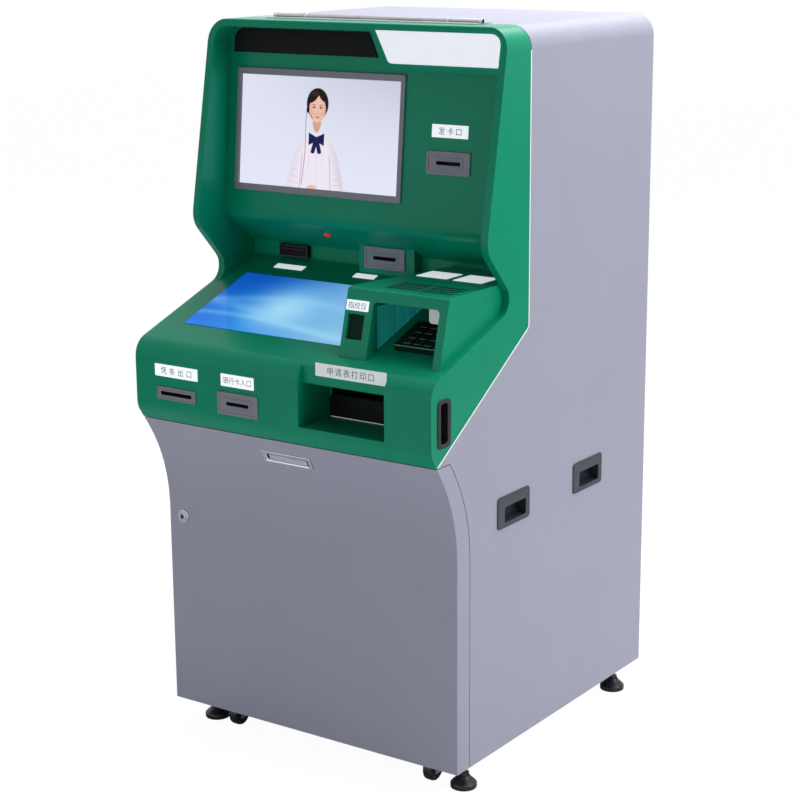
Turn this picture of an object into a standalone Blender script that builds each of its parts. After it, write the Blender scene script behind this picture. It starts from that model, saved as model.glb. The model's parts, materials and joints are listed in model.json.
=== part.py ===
"""Self-service card kiosk with a lifting hood, a front door, a keypad and card and paper outlets.

Metres, +Z up. X is to the right seen from the front, the front faces -Y, and the floor is Z = 0.
Every depth in this file is measured from the plane of the flat lower front door. The pieces hang on
one empty, which puts the origin on the floor under the middle of the whole kiosk.
"""
import math

import bpy
from mathutils import Matrix

# Overall sizes
WIDTH = 0.740
HEIGHT = 1.530
REAR_Y = 0.770
BASE_Z = 0.062
TOP_RADIUS = 0.045

# Walls and clearances
SHEET = 0.003
MOULDING = 0.005
DOOR_SHEET = 0.0025
TOUCH_GAP = 0.0003
SEAM_GAP = 0.002

# Side outline of hood, console and door
HOOD_TOP_Y = 0.180
BELLY_Y = 0.102
BELLY_Z = 1.1095
UNDERCUT_ANGLE = math.radians(42.7)
NECK_RADIUS = 0.036
NOSE_Y = -0.0905
NOSE_Z = 0.8814
DECK_SLOPE = math.radians(19.4)
CHIN_Z = 0.7453
CHIN_ANGLE = math.radians(34.2)
CONSOLE_FOOT_Z = 0.7185
SEAM_Y = 0.2615
KNEE_Z = 0.9360
DOOR_RETURN = 0.0445
DOOR_BEND_RADIUS = 0.345

# Recess under the hood
RIM = 0.016
BACK_Y = 0.2025
BACK_Z = 1.184
BACK_LEAN = math.radians(5.3)
BULGE_Z = 1.113
SHELF_WALL_Y = 0.290
SHELF_WALL_Z = 1.0465
INNER_X = WIDTH / 2 - RIM

# Screens
PANEL_WIDTH = 0.4098
PANEL_HEIGHT = 0.2304
BEZEL_BORDER_X = 0.0114
BEZEL_BORDER_Z = 0.0138
MONITOR_X = -0.1138
MONITOR_Z = 1.2985
MONITOR_DEPTH = 0.030
TOUCH_WIDTH = 0.410
TOUCH_LENGTH = 0.227
TOUCH_X = -0.1075
TOUCH_Y = 0.1037

# Header and camera strip above the upper screen
HEADER_LEFT_TOP = 0.045
HEADER_LEFT_BOTTOM = 0.088
HEADER_BORDER = 0.013
HEADER_HEIGHT = 0.090
CAMERA_STRIP_HEIGHT = 0.050
CAMERA_STRIP_TOP = 0.022

# Keypad housing on the deck
HOUSING_LEFT = 0.117
HOUSING_REAR_LEFT = 0.165
HOUSING_FRONT_Y = -0.0375
HOUSING_LEAN = math.radians(14.8)
HOUSING_TOP_Z = 1.034
HOUSING_REAR_Y = 0.284
TUNNEL_LEFT = 0.182
TUNNEL_WALL = 0.0175
TUNNEL_ROOF = 0.023
TUNNEL_CORNER = 0.009
TUNNEL_REAR_Y = 0.235
LOUVRE_WIDTH = 0.070
LOUVRE_SLOT = 0.006
LOUVRE_PITCH = 0.018
LOUVRE_ROWS = 4

# Keypad
PAD_X = 0.268
PAD_Y = 0.054
PAD_WIDTH = 0.100
PAD_LENGTH = 0.098
PAD_HEIGHT = 0.012
KEY_WIDTH = 0.0190
KEY_LENGTH = 0.0150
KEY_PITCH_X = 0.0240
KEY_PITCH_Y = 0.0210
KEY_HEIGHT = 0.0080
KEY_RISE = 0.0025
KEY_CLEARANCE = 0.0005
WELL_DEPTH = 0.0080

# Card and paper modules
CARD_BEZEL_WIDTH = 0.1034
CARD_BEZEL_HEIGHT = 0.0464
CARD_SLOT_WIDTH = 0.0555
SLOT_HEIGHT = 0.0025
SLOT_DEPTH = 0.030
BEZEL_THICKNESS = 0.003
OUTLET_X = 0.2126
OUTLET_Z = 1.258
READER_X = 0.018
READER_Z = 1.0405
SURROUND_X = 0.022
SURROUND_WIDTH = 0.141
SURROUND_TOP_Z = 1.073
SURROUND_FRONT_Y = 0.263
BANK_X = -0.098
BANK_Z = 0.7835
RECEIPT_X = -0.2598
RECEIPT_Z = 0.7828
RECEIPT_BEZEL_WIDTH = 0.1020
RECEIPT_BEZEL_HEIGHT = 0.0262
RECEIPT_SLOT_WIDTH = 0.080
SCANNER_X = -0.236
SCANNER_WIDTH = 0.078
SCANNER_HEIGHT = 0.032
INDICATOR_X = -0.113
INDICATOR_RADIUS = 0.011
POCKET_LEFT = 0.0545
POCKET_RIGHT = 0.262
POCKET_FLOOR_Z = 0.760
POCKET_ROOF_Z = 0.845
POCKET_REAR_Y = 0.015
LIP_FACE_Y = -0.075
LIP_ROLL = 0.008
LEVEL_JOINT_Z = 1.018

# Door
DOOR_TOP_Z = CONSOLE_FOOT_Z - SEAM_GAP
DOOR_AXIS_X = WIDTH / 2 - 0.012
DOOR_AXIS_Y = DOOR_RETURN + 0.026
HINGE_PIN_RADIUS = 0.004
HINGE_HEIGHTS = (0.156, 0.446)
LOCK_X = -0.333
LOCK_Z = 0.4855
LOCK_RADIUS = 0.0130
DOOR_PULL_X = -0.012
DOOR_PULL_Z = 0.669
DOOR_PULL_WIDTH = 0.124
DOOR_PULL_HEIGHT = 0.030

# Hood hinge and its gas strut
HOOD_AXIS_Z = HEIGHT + 0.005
HOOD_HINGE_LENGTH = 0.520
KNUCKLES = 7
STRUT_X = 0.3420
STRUT_BASE = (0.4470, 1.4800)
STRUT_EYE = (0.2496, 1.4478)

# Feet and castors
FOOT_X = (-0.320, 0.335)
FOOT_Y = (0.078, 0.708)
FOOT_RADIUS = 0.0275
CASTOR_X = (-0.250, 0.265)
CASTOR_Y = (0.058, 0.700)
WHEEL_RADIUS = 0.0265
WHEEL_WIDTH = 0.020
CASTOR_LIFT = 0.001
CASTOR_TRAIL = 0.012

# Recessed pulls in the cabinet sides and grips in the console sides
SIDE_PULL_Y = (0.207, 0.5095)
SIDE_PULL_Z = 0.571
SIDE_PULL_LENGTH = 0.124
SIDE_PULL_HEIGHT = 0.067
GRIP_Y = -0.0475
GRIP_Z = 0.8025
GRIP_LENGTH = 0.096
GRIP_WIDTH = 0.045
CUP_FLANGE = 0.0015

# Service parts inside the cabinet
SHELF_Z = 0.520
PRINTER_X = (-0.050, 0.320)
PRINTER_Y = (0.270, 0.650)
PRINTER_HEIGHT = 0.330
TRAY_X = (0.020, 0.300)
TRAY_DEPTH = 0.340
TRAY_HEIGHT = 0.055
CABLE_HOLE_X = 0.230
CABLE_HOLE_Z = 0.160
CABLE_HOLE_RADIUS = 0.013
FAR = 2.0


def deck_z(y):
    """Height of the sloping console deck at depth y."""
    return NOSE_Z + (y - NOSE_Y) * math.tan(DECK_SLOPE)


def back_y(z):
    """Depth of the leaning back wall of the recess at height z."""
    return BACK_Y + (z - BACK_Z) * math.tan(BACK_LEAN)


def chin_y(z):
    """Depth of the console's undercut face, which the top of the door continues."""
    return NOSE_Y + (CHIN_Z - z) * math.tan(CHIN_ANGLE)


def middle_depth():
    """Depth half way between the foremost bezel and the rear panel."""
    return (NOSE_Y - BEZEL_THICKNESS + REAR_Y + TOUCH_GAP + SHEET) / 2


def bend_height():
    """Height at which the undercut's line meets the plane of the flat lower door."""
    return CHIN_Z + NOSE_Y / math.tan(CHIN_ANGLE)


def neck_point():
    """Corner where the hood's undercut meets the deck."""
    rise = 1 / math.tan(UNDERCUT_ANGLE)
    y = (BELLY_Z + BELLY_Y * rise - NOSE_Z + NOSE_Y * math.tan(DECK_SLOPE)) / (math.tan(DECK_SLOPE) + rise)
    return y, deck_z(y)


# ---------------------------------------------------------------- outlines

def rounded(corners, step=math.radians(15)):
    """Points of a closed outline whose corners are (a, b) or (a, b, fillet radius)."""
    points = []
    count = len(corners)
    for index, corner in enumerate(corners):
        a, b = corner[:2]
        radius = corner[2] if len(corner) > 2 else 0.0
        if radius <= 0:
            points.append((a, b))
            continue
        before, after = corners[index - 1], corners[(index + 1) % count]
        into = math.atan2(b - before[1], a - before[0])
        out = math.atan2(after[1] - b, after[0] - a)
        turn = math.remainder(out - into, 2 * math.pi)
        side = math.copysign(1.0, turn)
        reach = radius * math.tan(abs(turn) / 2)
        centre_a = a - reach * math.cos(into) - side * radius * math.sin(into)
        centre_b = b - reach * math.sin(into) + side * radius * math.cos(into)
        pieces = max(2, math.ceil(abs(turn) / step))
        for piece in range(pieces + 1):
            angle = into + turn * piece / pieces
            points.append((centre_a + side * radius * math.sin(angle),
                           centre_b - side * radius * math.cos(angle)))
    return points


def grown(corners, distance):
    """The same closed outline moved outward by a distance, or inward by a negative one."""
    count = len(corners)
    area = sum(corners[i - 1][0] * corners[i][1] - corners[i][0] * corners[i - 1][1] for i in range(count))
    side = distance * math.copysign(1.0, area)
    shifted = []
    for index in range(count):
        before, here, after = corners[index - 1], corners[index], corners[(index + 1) % count]
        into = math.atan2(here[1] - before[1], here[0] - before[0])
        out = math.atan2(after[1] - here[1], after[0] - here[0])
        half = math.remainder(out - into, 2 * math.pi) / 2
        middle = into + half - math.pi / 2
        push = side / math.cos(half)
        radius = here[2] if len(here) > 2 else 0.0
        if radius:
            radius = max(0.0005, radius + math.copysign(1.0, half) * side)
        shifted.append((here[0] + push * math.cos(middle), here[1] + push * math.sin(middle), radius))
    return shifted


def rectangle(first, second, radius=0.0):
    """Corners of a rectangle over two ranges."""
    return [(a, b, radius) for a, b in ((first[0], second[0]), (first[1], second[0]),
                                        (first[1], second[1]), (first[0], second[1]))]


def front_corners():
    """Side outline of the hood and console front, from the top rear corner down to the console's foot."""
    return [(HOOD_TOP_Y, HEIGHT, 0.004), (BELLY_Y, BELLY_Z, 0.050), (*neck_point(), NECK_RADIUS),
            (NOSE_Y, NOSE_Z, 0.042), (NOSE_Y, CHIN_Z, 0.040)]


def recess_corners():
    """Side outline of the recess under the hood, reaching into the air in front of it."""
    tangent = NECK_RADIUS * math.tan((math.pi / 2 + UNDERCUT_ANGLE - DECK_SLOPE) / 2)
    leave_y = neck_point()[0] - tangent * math.cos(DECK_SLOPE) + 0.0005
    return [(-0.2, HEIGHT - RIM), (back_y(HEIGHT - RIM), HEIGHT - RIM, 0.003),
            (back_y(BULGE_Z), BULGE_Z, 0.030),
            (SHELF_WALL_Y, SHELF_WALL_Z, 0.006), (SHELF_WALL_Y, deck_z(SHELF_WALL_Y), 0.004),
            (leave_y, deck_z(leave_y)), (-0.2, deck_z(leave_y) + 0.08)]


# ---------------------------------------------------------------- solids

def solid(points, axis, start, end):
    """A prism with the given outline, drawn in the plane across an axis and carried along it."""
    order = {"X": lambda a, b, c: (c, a, b), "Y": lambda a, b, c: (a, c, b),
             "Z": lambda a, b, c: (a, b, c)}[axis]
    count = len(points)
    vertices = [order(a, b, c) for c in (start, end) for a, b in points]
    faces = [list(range(count))[::-1], list(range(count, 2 * count))]
    faces += [[i, (i + 1) % count, (i + 1) % count + count, i + count] for i in range(count)]
    mesh = bpy.data.meshes.new("outline")
    mesh.from_pydata(vertices, [], faces)
    volume = sum(mesh.vertices[f.vertices[0]].co.dot(f.normal) * f.area for f in mesh.polygons)
    if volume < 0:
        mesh.flip_normals()
    body = bpy.data.objects.new("outline", mesh)
    bpy.context.scene.collection.objects.link(body)
    return body


def block(x, y, z, radius=0.0, axis="Z", step=45):
    """A box over three ranges, with the edges along one axis rounded."""
    spans = {"X": (y, z, x), "Y": (x, z, y), "Z": (x, y, z)}[axis]
    return solid(rounded(rectangle(spans[0], spans[1], radius), math.radians(step)), axis, *spans[2])


def rod(axis, centre, radius, start, end, sides=24):
    """A round bar along an axis; the centre is given in the plane across it."""
    points = [(centre[0] + radius * math.cos(2 * math.pi * i / sides),
               centre[1] + radius * math.sin(2 * math.pi * i / sides)) for i in range(sides)]
    return solid(points, axis, start, end)


def combine(body, tool, operation):
    """Apply one Boolean to a body and remove the tool."""
    modifier = body.modifiers.new(operation, "BOOLEAN")
    modifier.operation = operation
    modifier.solver = "EXACT"
    modifier.object = tool
    graph = bpy.context.evaluated_depsgraph_get()
    mesh = bpy.data.meshes.new_from_object(body.evaluated_get(graph))
    body.modifiers.clear()
    body.data = mesh
    bpy.data.objects.remove(tool)
    return body


def cut(body, *tools):
    """Take each tool away from the body."""
    for tool in tools:
        combine(body, tool, "DIFFERENCE")
    return body


def join(body, *tools):
    """Add each tool to the body as one solid."""
    for tool in tools:
        combine(body, tool, "UNION")
    return body


def moved(body, frame):
    """Carry a body drawn in a local frame to its place."""
    body.data.transform(frame)
    return body


def leaning(x, y, z, lean):
    """Frame on a face that leans back: local -Y points out of the face and local Z climbs it."""
    return Matrix.Translation((x, y, z)) @ Matrix.Rotation(-lean, 4, "X")


def back_frame(x, z):
    """Frame on the recess's back wall."""
    return leaning(x, back_y(z), z, BACK_LEAN)


def deck_frame(x, y):
    """Frame on the sloping deck."""
    return leaning(x, y, deck_z(y), math.pi / 2 - DECK_SLOPE)


def housing_frame(x, z):
    """Frame on the keypad housing's leaning front face."""
    y = HOUSING_FRONT_Y + (z - deck_z(HOUSING_FRONT_Y)) * math.tan(HOUSING_LEAN)
    return leaning(x, y, z, HOUSING_LEAN)


def under_hood_frame(x, reach):
    """Frame on the sloping face between the bulge and the shelf wall, a share of the way along it."""
    start_y, end_y = back_y(BULGE_Z), SHELF_WALL_Y
    lean = -math.atan2(end_y - start_y, BULGE_Z - SHELF_WALL_Z)
    y = start_y + (end_y - start_y) * reach
    z = BULGE_Z + (SHELF_WALL_Z - BULGE_Z) * reach
    return leaning(x, y, z, lean)


MATERIALS = {}
GROUPS = {}


def material(name, colour, roughness, metallic=0.0):
    """Make one Principled material."""
    made = bpy.data.materials.new(name)
    made.use_nodes = True
    shader = made.node_tree.nodes["Principled BSDF"]
    shader.inputs["Base Color"].default_value = (*colour, 1.0)
    shader.inputs["Roughness"].default_value = roughness
    shader.inputs["Metallic"].default_value = metallic
    MATERIALS[name] = made


def make_materials():
    """The finishes that the pieces share."""
    material("green_lacquer", (0.012, 0.265, 0.150), 0.35)
    material("grey_coat", (0.36, 0.37, 0.47), 0.45)
    material("black_plastic", (0.015, 0.015, 0.018), 0.45)
    material("module_grey", (0.17, 0.17, 0.20), 0.50)
    material("white_plastic", (0.80, 0.80, 0.82), 0.40)
    material("dark_glass", (0.010, 0.011, 0.014), 0.08)
    material("screen_glass", (0.10, 0.30, 0.75), 0.12)
    material("red_lens", (0.60, 0.02, 0.02), 0.20)
    material("steel", (0.55, 0.56, 0.58), 0.30, 1.0)
    material("zinc_steel", (0.42, 0.43, 0.45), 0.40, 1.0)
    material("black_rubber", (0.020, 0.020, 0.020), 0.80)


def finish(body, name, finish_name, pivot=(0.0, 0.0, 0.0), parent=None, smooth=30):
    """Name a body, put its origin on its pivot, give it a material and hang it on its group."""
    body.name = name
    body.data.name = name
    body.data.transform(Matrix.Translation([-value for value in pivot]))
    body.parent = parent or GROUPS["kiosk"]
    base = parent.location if parent else (0.0, 0.0, 0.0)
    body.location = [value - start for value, start in zip(pivot, base)]
    body.data.materials.clear()
    body.data.materials.append(MATERIALS[finish_name])
    for face in body.data.polygons:
        face.material_index = 0
    body.data.shade_smooth()
    body.data.set_sharp_from_angle(angle=math.radians(smooth))
    return body


def group(name, place):
    """An empty that carries the pieces of one moving group."""
    empty = bpy.data.objects.new(name, None)
    empty.location = place
    empty.parent = GROUPS.get("kiosk")
    bpy.context.scene.collection.objects.link(empty)
    GROUPS[name] = empty
    return empty


# ---------------------------------------------------------------- cabinet

def top_rounded(half_width, top, radius, start, end):
    """A bar along the depth whose two top edges are rounded, used to trim the shells."""
    corners = [(-half_width, -0.1), (half_width, -0.1), (half_width, top, radius), (-half_width, top, radius)]
    return solid(rounded(corners), "Y", start, end)


def cup_cutout(side, y, z, length, height, wall_x):
    """The hole in a side wall that a recessed pull sits in."""
    inside = (wall_x - 0.05, wall_x + 0.05) if side > 0 else (-wall_x - 0.05, -wall_x + 0.05)
    return block(inside, (y - length / 2, y + length / 2), (z - height / 2, z + height / 2), 0.006, "X")


def diagonal_drop():
    """Vertical shift that leaves the seam gap below the console's diagonal edge."""
    slope = math.atan2(KNEE_Z - CONSOLE_FOOT_Z, SEAM_Y - chin_y(CONSOLE_FOOT_Z))
    return SEAM_GAP / math.cos(slope)


def make_cabinet():
    """Welded shell of sides, top, base, rear frame and printer shelf, open at the front."""
    drop = diagonal_drop()
    door_edge = DOOR_RETURN + SEAM_GAP
    foot_y = chin_y(CONSOLE_FOOT_Z)
    slope = (KNEE_Z - CONSOLE_FOOT_Z) / (SEAM_Y - foot_y)
    seam_y = SEAM_Y + SEAM_GAP
    bend_z = bend_height()
    side = [(REAR_Y, BASE_Z), (REAR_Y, HEIGHT), (seam_y, HEIGHT), (seam_y, KNEE_Z - drop + slope * SEAM_GAP),
            (foot_y + drop / slope, CONSOLE_FOOT_Z), (foot_y + door_edge, CONSOLE_FOOT_Z),
            (door_edge, bend_z, DOOR_BEND_RADIUS), (door_edge, BASE_Z)]
    body = solid(rounded(side, math.radians(6)), "X", -WIDTH / 2, WIDTH / 2)
    combine(body, top_rounded(WIDTH / 2, HEIGHT, TOP_RADIUS, -0.5, REAR_Y + 0.1), "INTERSECT")
    inner_x = WIDTH / 2 - SHEET
    inside = top_rounded(inner_x, HEIGHT - SHEET, TOP_RADIUS - SHEET, -0.5, REAR_Y - SHEET)
    cut(inside, block((-WIDTH, WIDTH), (-0.6, FAR), (-0.2, BASE_Z + SHEET)))
    cut(body, inside)
    panel_x, panel_z = rear_opening()
    cut(body, block(panel_x, (REAR_Y - 0.05, REAR_Y + 0.05), panel_z, 0.004, "Y"))
    shelf = block((-inner_x - 0.001, inner_x + 0.001), (0.255, REAR_Y - 0.06), (SHELF_Z - SHEET, SHELF_Z))
    front_lip = block((-inner_x - 0.001, inner_x + 0.001), (0.255, 0.255 + SHEET), (SHELF_Z - 0.025, SHELF_Z))
    join(body, shelf, front_lip)
    for height in HINGE_HEIGHTS:
        lug = block((DOOR_AXIS_X - 0.014, WIDTH / 2 - SHEET / 2), (DOOR_AXIS_Y - 0.013, DOOR_AXIS_Y + 0.013),
                    (height - 0.006, height))
        join(body, lug)
        cut(body, rod("Z", (DOOR_AXIS_X, DOOR_AXIS_Y), HINGE_PIN_RADIUS + 0.0004, height - 0.02,
                      height + 0.02, 16))
    strike = block((-WIDTH / 2 + SHEET / 2, -0.349), (door_edge + 0.001, door_edge + 0.004),
                   (LOCK_Z - 0.015, LOCK_Z + 0.015))
    join(body, strike)
    lug = block((STRUT_X + 0.010, WIDTH / 2 - SHEET / 2), (STRUT_BASE[0] - 0.012, STRUT_BASE[0] + 0.012),
                (STRUT_BASE[1] - 0.012, STRUT_BASE[1] + 0.012))
    join(body, lug)
    for y in SIDE_PULL_Y:
        for side_sign in (-1, 1):
            cut(body, cup_cutout(side_sign, y, SIDE_PULL_Z, SIDE_PULL_LENGTH - 0.016,
                                 SIDE_PULL_HEIGHT - 0.014, WIDTH / 2))
    finish(body, "cabinet_shell", "grey_coat")


def rear_opening():
    """Ranges of the service opening in the cabinet's rear."""
    return (-WIDTH / 2 + 0.045, WIDTH / 2 - 0.045), (BASE_Z + 0.045, HEIGHT - 0.070)


def make_rear_panel():
    """Screwed-on service panel with two fields of ventilation slots and a round mains cable hole."""
    x, z = rear_opening()
    overlap = 0.014
    body = block((x[0] - overlap, x[1] + overlap), (REAR_Y + TOUCH_GAP, REAR_Y + TOUCH_GAP + SHEET),
                 (z[0] - overlap, z[1] + overlap), 0.006, "Y")
    for row in range(6):
        for base in (z[0] + 0.12, z[1] - 0.22):
            level = base + row * 0.018
            cut(body, block((-0.10, 0.10), (REAR_Y - 0.02, REAR_Y + 0.02), (level, level + 0.006)))
    cut(body, rod("Y", (CABLE_HOLE_X, CABLE_HOLE_Z), CABLE_HOLE_RADIUS, REAR_Y - 0.02, REAR_Y + 0.02, 20))
    finish(body, "rear_panel", "grey_coat")


def make_side_pull(name, side, y):
    """Recessed pull: a flange outside the side wall and a cup through it."""
    outer = WIDTH / 2
    clear = 0.0004
    length, height = SIDE_PULL_LENGTH - 0.016 - 2 * clear, SIDE_PULL_HEIGHT - 0.014 - 2 * clear
    make_cup(name, side, outer, (y, SIDE_PULL_Z), (SIDE_PULL_LENGTH, SIDE_PULL_HEIGHT), (length, height),
             0.032)


def make_cup(name, side, wall_x, centre, flange, cup, depth, parent=None):
    """A flanged cup set into a side wall at X = wall_x, open outward."""
    y, z = centre

    def slab(size, start, end, radius):
        x = (start, end) if side > 0 else (-end, -start)
        return block(x, (y - size[0] / 2, y + size[0] / 2), (z - size[1] / 2, z + size[1] / 2), radius, "X")

    body = slab(flange, wall_x + TOUCH_GAP, wall_x + TOUCH_GAP + CUP_FLANGE, 0.008)
    join(body, slab(cup, wall_x - depth, wall_x + TOUCH_GAP + CUP_FLANGE / 2, 0.005))
    wall = 0.0025
    hollow = (cup[0] - 2 * wall, cup[1] - 2 * wall)
    cut(body, slab(hollow, wall_x - depth + wall, wall_x + 0.05, 0.004))
    finish(body, name, "black_plastic", parent=parent)


def make_computer():
    """Computer with its own power supply, on the cabinet's floor."""
    floor = BASE_Z + SHEET + TOUCH_GAP
    computer = block((-0.300, -0.120), (0.300, 0.660), (floor, floor + 0.340), 0.004)
    for row in range(5):
        level = floor + 0.10 + row * 0.03
        cut(computer, block((-0.270, -0.150), (0.290, 0.306), (level, level + 0.008)))
    finish(computer, "control_computer", "black_plastic")


def make_printer():
    """Form printer on the shelf with a paper duct that leads to the pocket in the console."""
    base = SHELF_Z + TOUCH_GAP
    front, rear = PRINTER_Y
    top = base + PRINTER_HEIGHT
    body = block(PRINTER_X, PRINTER_Y, (base, top), 0.008)
    duct_x = (POCKET_LEFT, POCKET_RIGHT)
    duct_z = (POCKET_FLOOR_Z + 0.040, POCKET_FLOOR_Z + 0.065)
    duct_front = POCKET_REAR_Y + MOULDING + 0.008
    join(body, block(duct_x, (duct_front, front + 0.02), duct_z))
    cut(body, block((duct_x[0] + 0.003, duct_x[1] - 0.003), (duct_front - 0.02, front + 0.10),
                    (duct_z[0] + 0.003, duct_z[1] - 0.003)))
    tray_base = base + 0.018
    cut(body, block((TRAY_X[0] - 0.002, TRAY_X[1] + 0.002), (front - 0.05, front + TRAY_DEPTH),
                    (tray_base, tray_base + TRAY_HEIGHT + 0.004)))
    finish(body, "form_printer", "black_plastic")
    tray = block(TRAY_X, (front - 0.008, front + TRAY_DEPTH - 0.020),
                 (tray_base + 0.002, tray_base + 0.002 + TRAY_HEIGHT), 0.003)
    cut(tray, block((TRAY_X[0] + 0.006, TRAY_X[1] - 0.006), (front + 0.006, front + TRAY_DEPTH - 0.026),
                    (tray_base + 0.006, tray_base + 0.1)))
    cut(tray, block((0.13, 0.19), (front - 0.02, front + 0.001), (tray_base - 0.01, tray_base + 0.016)))
    finish(tray, "printer_tray", "module_grey", (0.16, front, tray_base))


# ---------------------------------------------------------------- door

def make_door(parent):
    """Front door: a pan whose curved top carries on the console's undercut."""
    bend_z = bend_height()
    top_y = chin_y(DOOR_TOP_Z)
    side = [(top_y, DOOR_TOP_Z), (0.0, bend_z, DOOR_BEND_RADIUS), (0.0, BASE_Z), (DOOR_RETURN, BASE_Z),
            (DOOR_RETURN, bend_z, DOOR_BEND_RADIUS), (top_y + DOOR_RETURN, DOOR_TOP_Z)]
    body = solid(rounded(side, math.radians(6)), "X", -WIDTH / 2, WIDTH / 2)
    top, foot = DOOR_TOP_Z - DOOR_SHEET, BASE_Z + DOOR_SHEET
    inside = [(chin_y(top) + DOOR_SHEET, top), (DOOR_SHEET, bend_z, DOOR_BEND_RADIUS), (DOOR_SHEET, foot),
              (0.3, foot), (0.3, top)]
    inner_x = WIDTH / 2 - DOOR_SHEET
    cut(body, solid(rounded(inside, math.radians(6)), "X", -inner_x, inner_x))
    cut(body, block((DOOR_AXIS_X - 0.010, inner_x), (DOOR_RETURN - 0.012, DOOR_RETURN + 0.01),
                    (BASE_Z - 0.01, BASE_Z + 0.01)))
    cut(body, rod("Y", (LOCK_X, LOCK_Z), LOCK_RADIUS - 0.002, -0.05, 0.03, 20))
    opening = block((-DOOR_PULL_WIDTH / 2 + 0.006, DOOR_PULL_WIDTH / 2 - 0.006), (-0.02, 0.05),
                    (-DOOR_PULL_HEIGHT / 2 + 0.004, DOOR_PULL_HEIGHT / 2 - 0.004), 0.004, "Y")
    cut(body, moved(opening, pull_frame()))
    finish(body, "front_door", "grey_coat", (DOOR_AXIS_X, DOOR_AXIS_Y, 0.0), parent)


def pull_frame():
    """Frame on the door's upper face, which leans forward as it rises."""
    bend_z = bend_height()
    reach = DOOR_BEND_RADIUS * math.tan(CHIN_ANGLE / 2)
    tangent_z = bend_z - reach
    angle = math.asin(min(0.99, (DOOR_PULL_Z - tangent_z) / DOOR_BEND_RADIUS))
    angle = min(angle, CHIN_ANGLE)
    y = -DOOR_BEND_RADIUS * (1 - math.cos(angle))
    return leaning(DOOR_PULL_X, y, DOOR_PULL_Z, -angle)


def make_door_fittings(parent):
    """Flush pull, cam lock and the two swan-neck hinge arms."""
    half_x, half_z = DOOR_PULL_WIDTH / 2, DOOR_PULL_HEIGHT / 2
    pull = block((-half_x, half_x), (-0.003, -0.0010), (-half_z, half_z), 0.003, "Y")
    join(pull, block((-half_x + 0.0068, half_x - 0.0068), (-0.0015, 0.016),
                     (-half_z + 0.0048, half_z - 0.0048), 0.003, "Y"))
    cut(pull, block((-half_x + 0.009, half_x - 0.009), (-0.02, 0.014), (-half_z + 0.007, half_z - 0.007),
                    0.002, "Y"))
    finish(moved(pull, pull_frame()), "door_pull", "steel", parent=parent)
    door_edge = DOOR_RETURN + SEAM_GAP
    barrel = rod("Y", (LOCK_X, LOCK_Z), LOCK_RADIUS, -0.004, -TOUCH_GAP, 24)
    join(barrel, rod("Y", (LOCK_X, LOCK_Z), LOCK_RADIUS - 0.0026, -0.001, door_edge + 0.0100, 20))
    cam = block((LOCK_X - 0.007, LOCK_X + 0.007), (door_edge + 0.0060, door_edge + 0.0090),
                (LOCK_Z - 0.028, LOCK_Z + 0.007), 0.003, "Y")
    join(barrel, cam)
    cut(barrel, block((LOCK_X - 0.001, LOCK_X + 0.001), (-0.01, 0.002), (LOCK_Z - 0.005, LOCK_Z + 0.005)))
    finish(barrel, "door_lock", "zinc_steel", (LOCK_X, 0.0, LOCK_Z))
    for name, height in zip(("door_hinge_lower", "door_hinge_upper"), HINGE_HEIGHTS):
        make_hinge_arm(name, height + 0.0006, parent)


def make_hinge_arm(name, base, parent):
    """Angled arm from the pin to a foot on the inside of the door panel."""
    top = base + 0.010
    half = 0.0030
    reach = 0.030
    arm_x = DOOR_AXIS_X - reach
    panel = DOOR_SHEET + TOUCH_GAP
    body = block((arm_x - half, DOOR_AXIS_X + half), (DOOR_AXIS_Y - half, DOOR_AXIS_Y + half), (base, top))
    join(body, block((arm_x - half, arm_x + half), (panel, DOOR_AXIS_Y + half), (base, top)))
    join(body, block((arm_x - 0.030, arm_x + half), (panel, panel + 0.004), (base - 0.012, top + 0.012)))
    join(body, rod("Z", (DOOR_AXIS_X, DOOR_AXIS_Y), 0.0065, base, top, 16))
    join(body, rod("Z", (DOOR_AXIS_X, DOOR_AXIS_Y), HINGE_PIN_RADIUS, base - 0.010, base + 0.001, 16))
    finish(body, name, "zinc_steel", (DOOR_AXIS_X, DOOR_AXIS_Y, base), parent)


# ---------------------------------------------------------------- hood and console

def extended_front(distance):
    """Front outline closed far behind and below the seam, moved by a distance."""
    low = CONSOLE_FOOT_Z - 0.1
    corners = [(SEAM_Y + 0.2, HEIGHT), *front_corners(), (chin_y(low), low), (SEAM_Y + 0.2, low)]
    return rounded(grown(corners, distance))


def recess_body(growth):
    """Solid of the recess under the hood, or of the tub around it when grown."""
    body = solid(rounded(grown(recess_corners(), growth)), "X", -INNER_X - growth, INNER_X + growth)
    top = HEIGHT - RIM + growth
    trim = top_rounded(INNER_X + growth, top, TOP_RADIUS - RIM + growth, -0.6, 0.6)
    return combine(body, trim, "INTERSECT")


def header_outline(inset):
    """Corners (x, z) of the header box, or of its plate when inset."""
    top, foot = HEIGHT - RIM + 0.006, HEIGHT - HEADER_HEIGHT
    right = INNER_X + 0.004
    slant = HEADER_LEFT_BOTTOM - HEADER_LEFT_TOP
    if not inset:
        return [(HEADER_LEFT_TOP, top), (HEADER_LEFT_BOTTOM, foot, 0.018), (right, foot), (right, top)]
    return [(HEADER_LEFT_TOP + inset + 0.003, HEIGHT - inset),
            (HEADER_LEFT_TOP + slant + inset, foot + inset, 0.012),
            (INNER_X + 0.0005, foot + inset, 0.002), (INNER_X + 0.0005, HEIGHT - inset, 0.022)]


def hood_frame(z):
    """Frame on the leaning front plane of the hood at height z."""
    lean = math.atan2(HOOD_TOP_Y - BELLY_Y, HEIGHT - BELLY_Z)
    return leaning(0.0, BELLY_Y + (z - BELLY_Z) * math.tan(lean), z, lean)


def console_side():
    """Corners of the moulding's side: the front outline closed by the seam."""
    return [(SEAM_Y, HEIGHT), *front_corners(), (chin_y(CONSOLE_FOOT_Z), CONSOLE_FOOT_Z), (SEAM_Y, KNEE_Z)]


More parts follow.
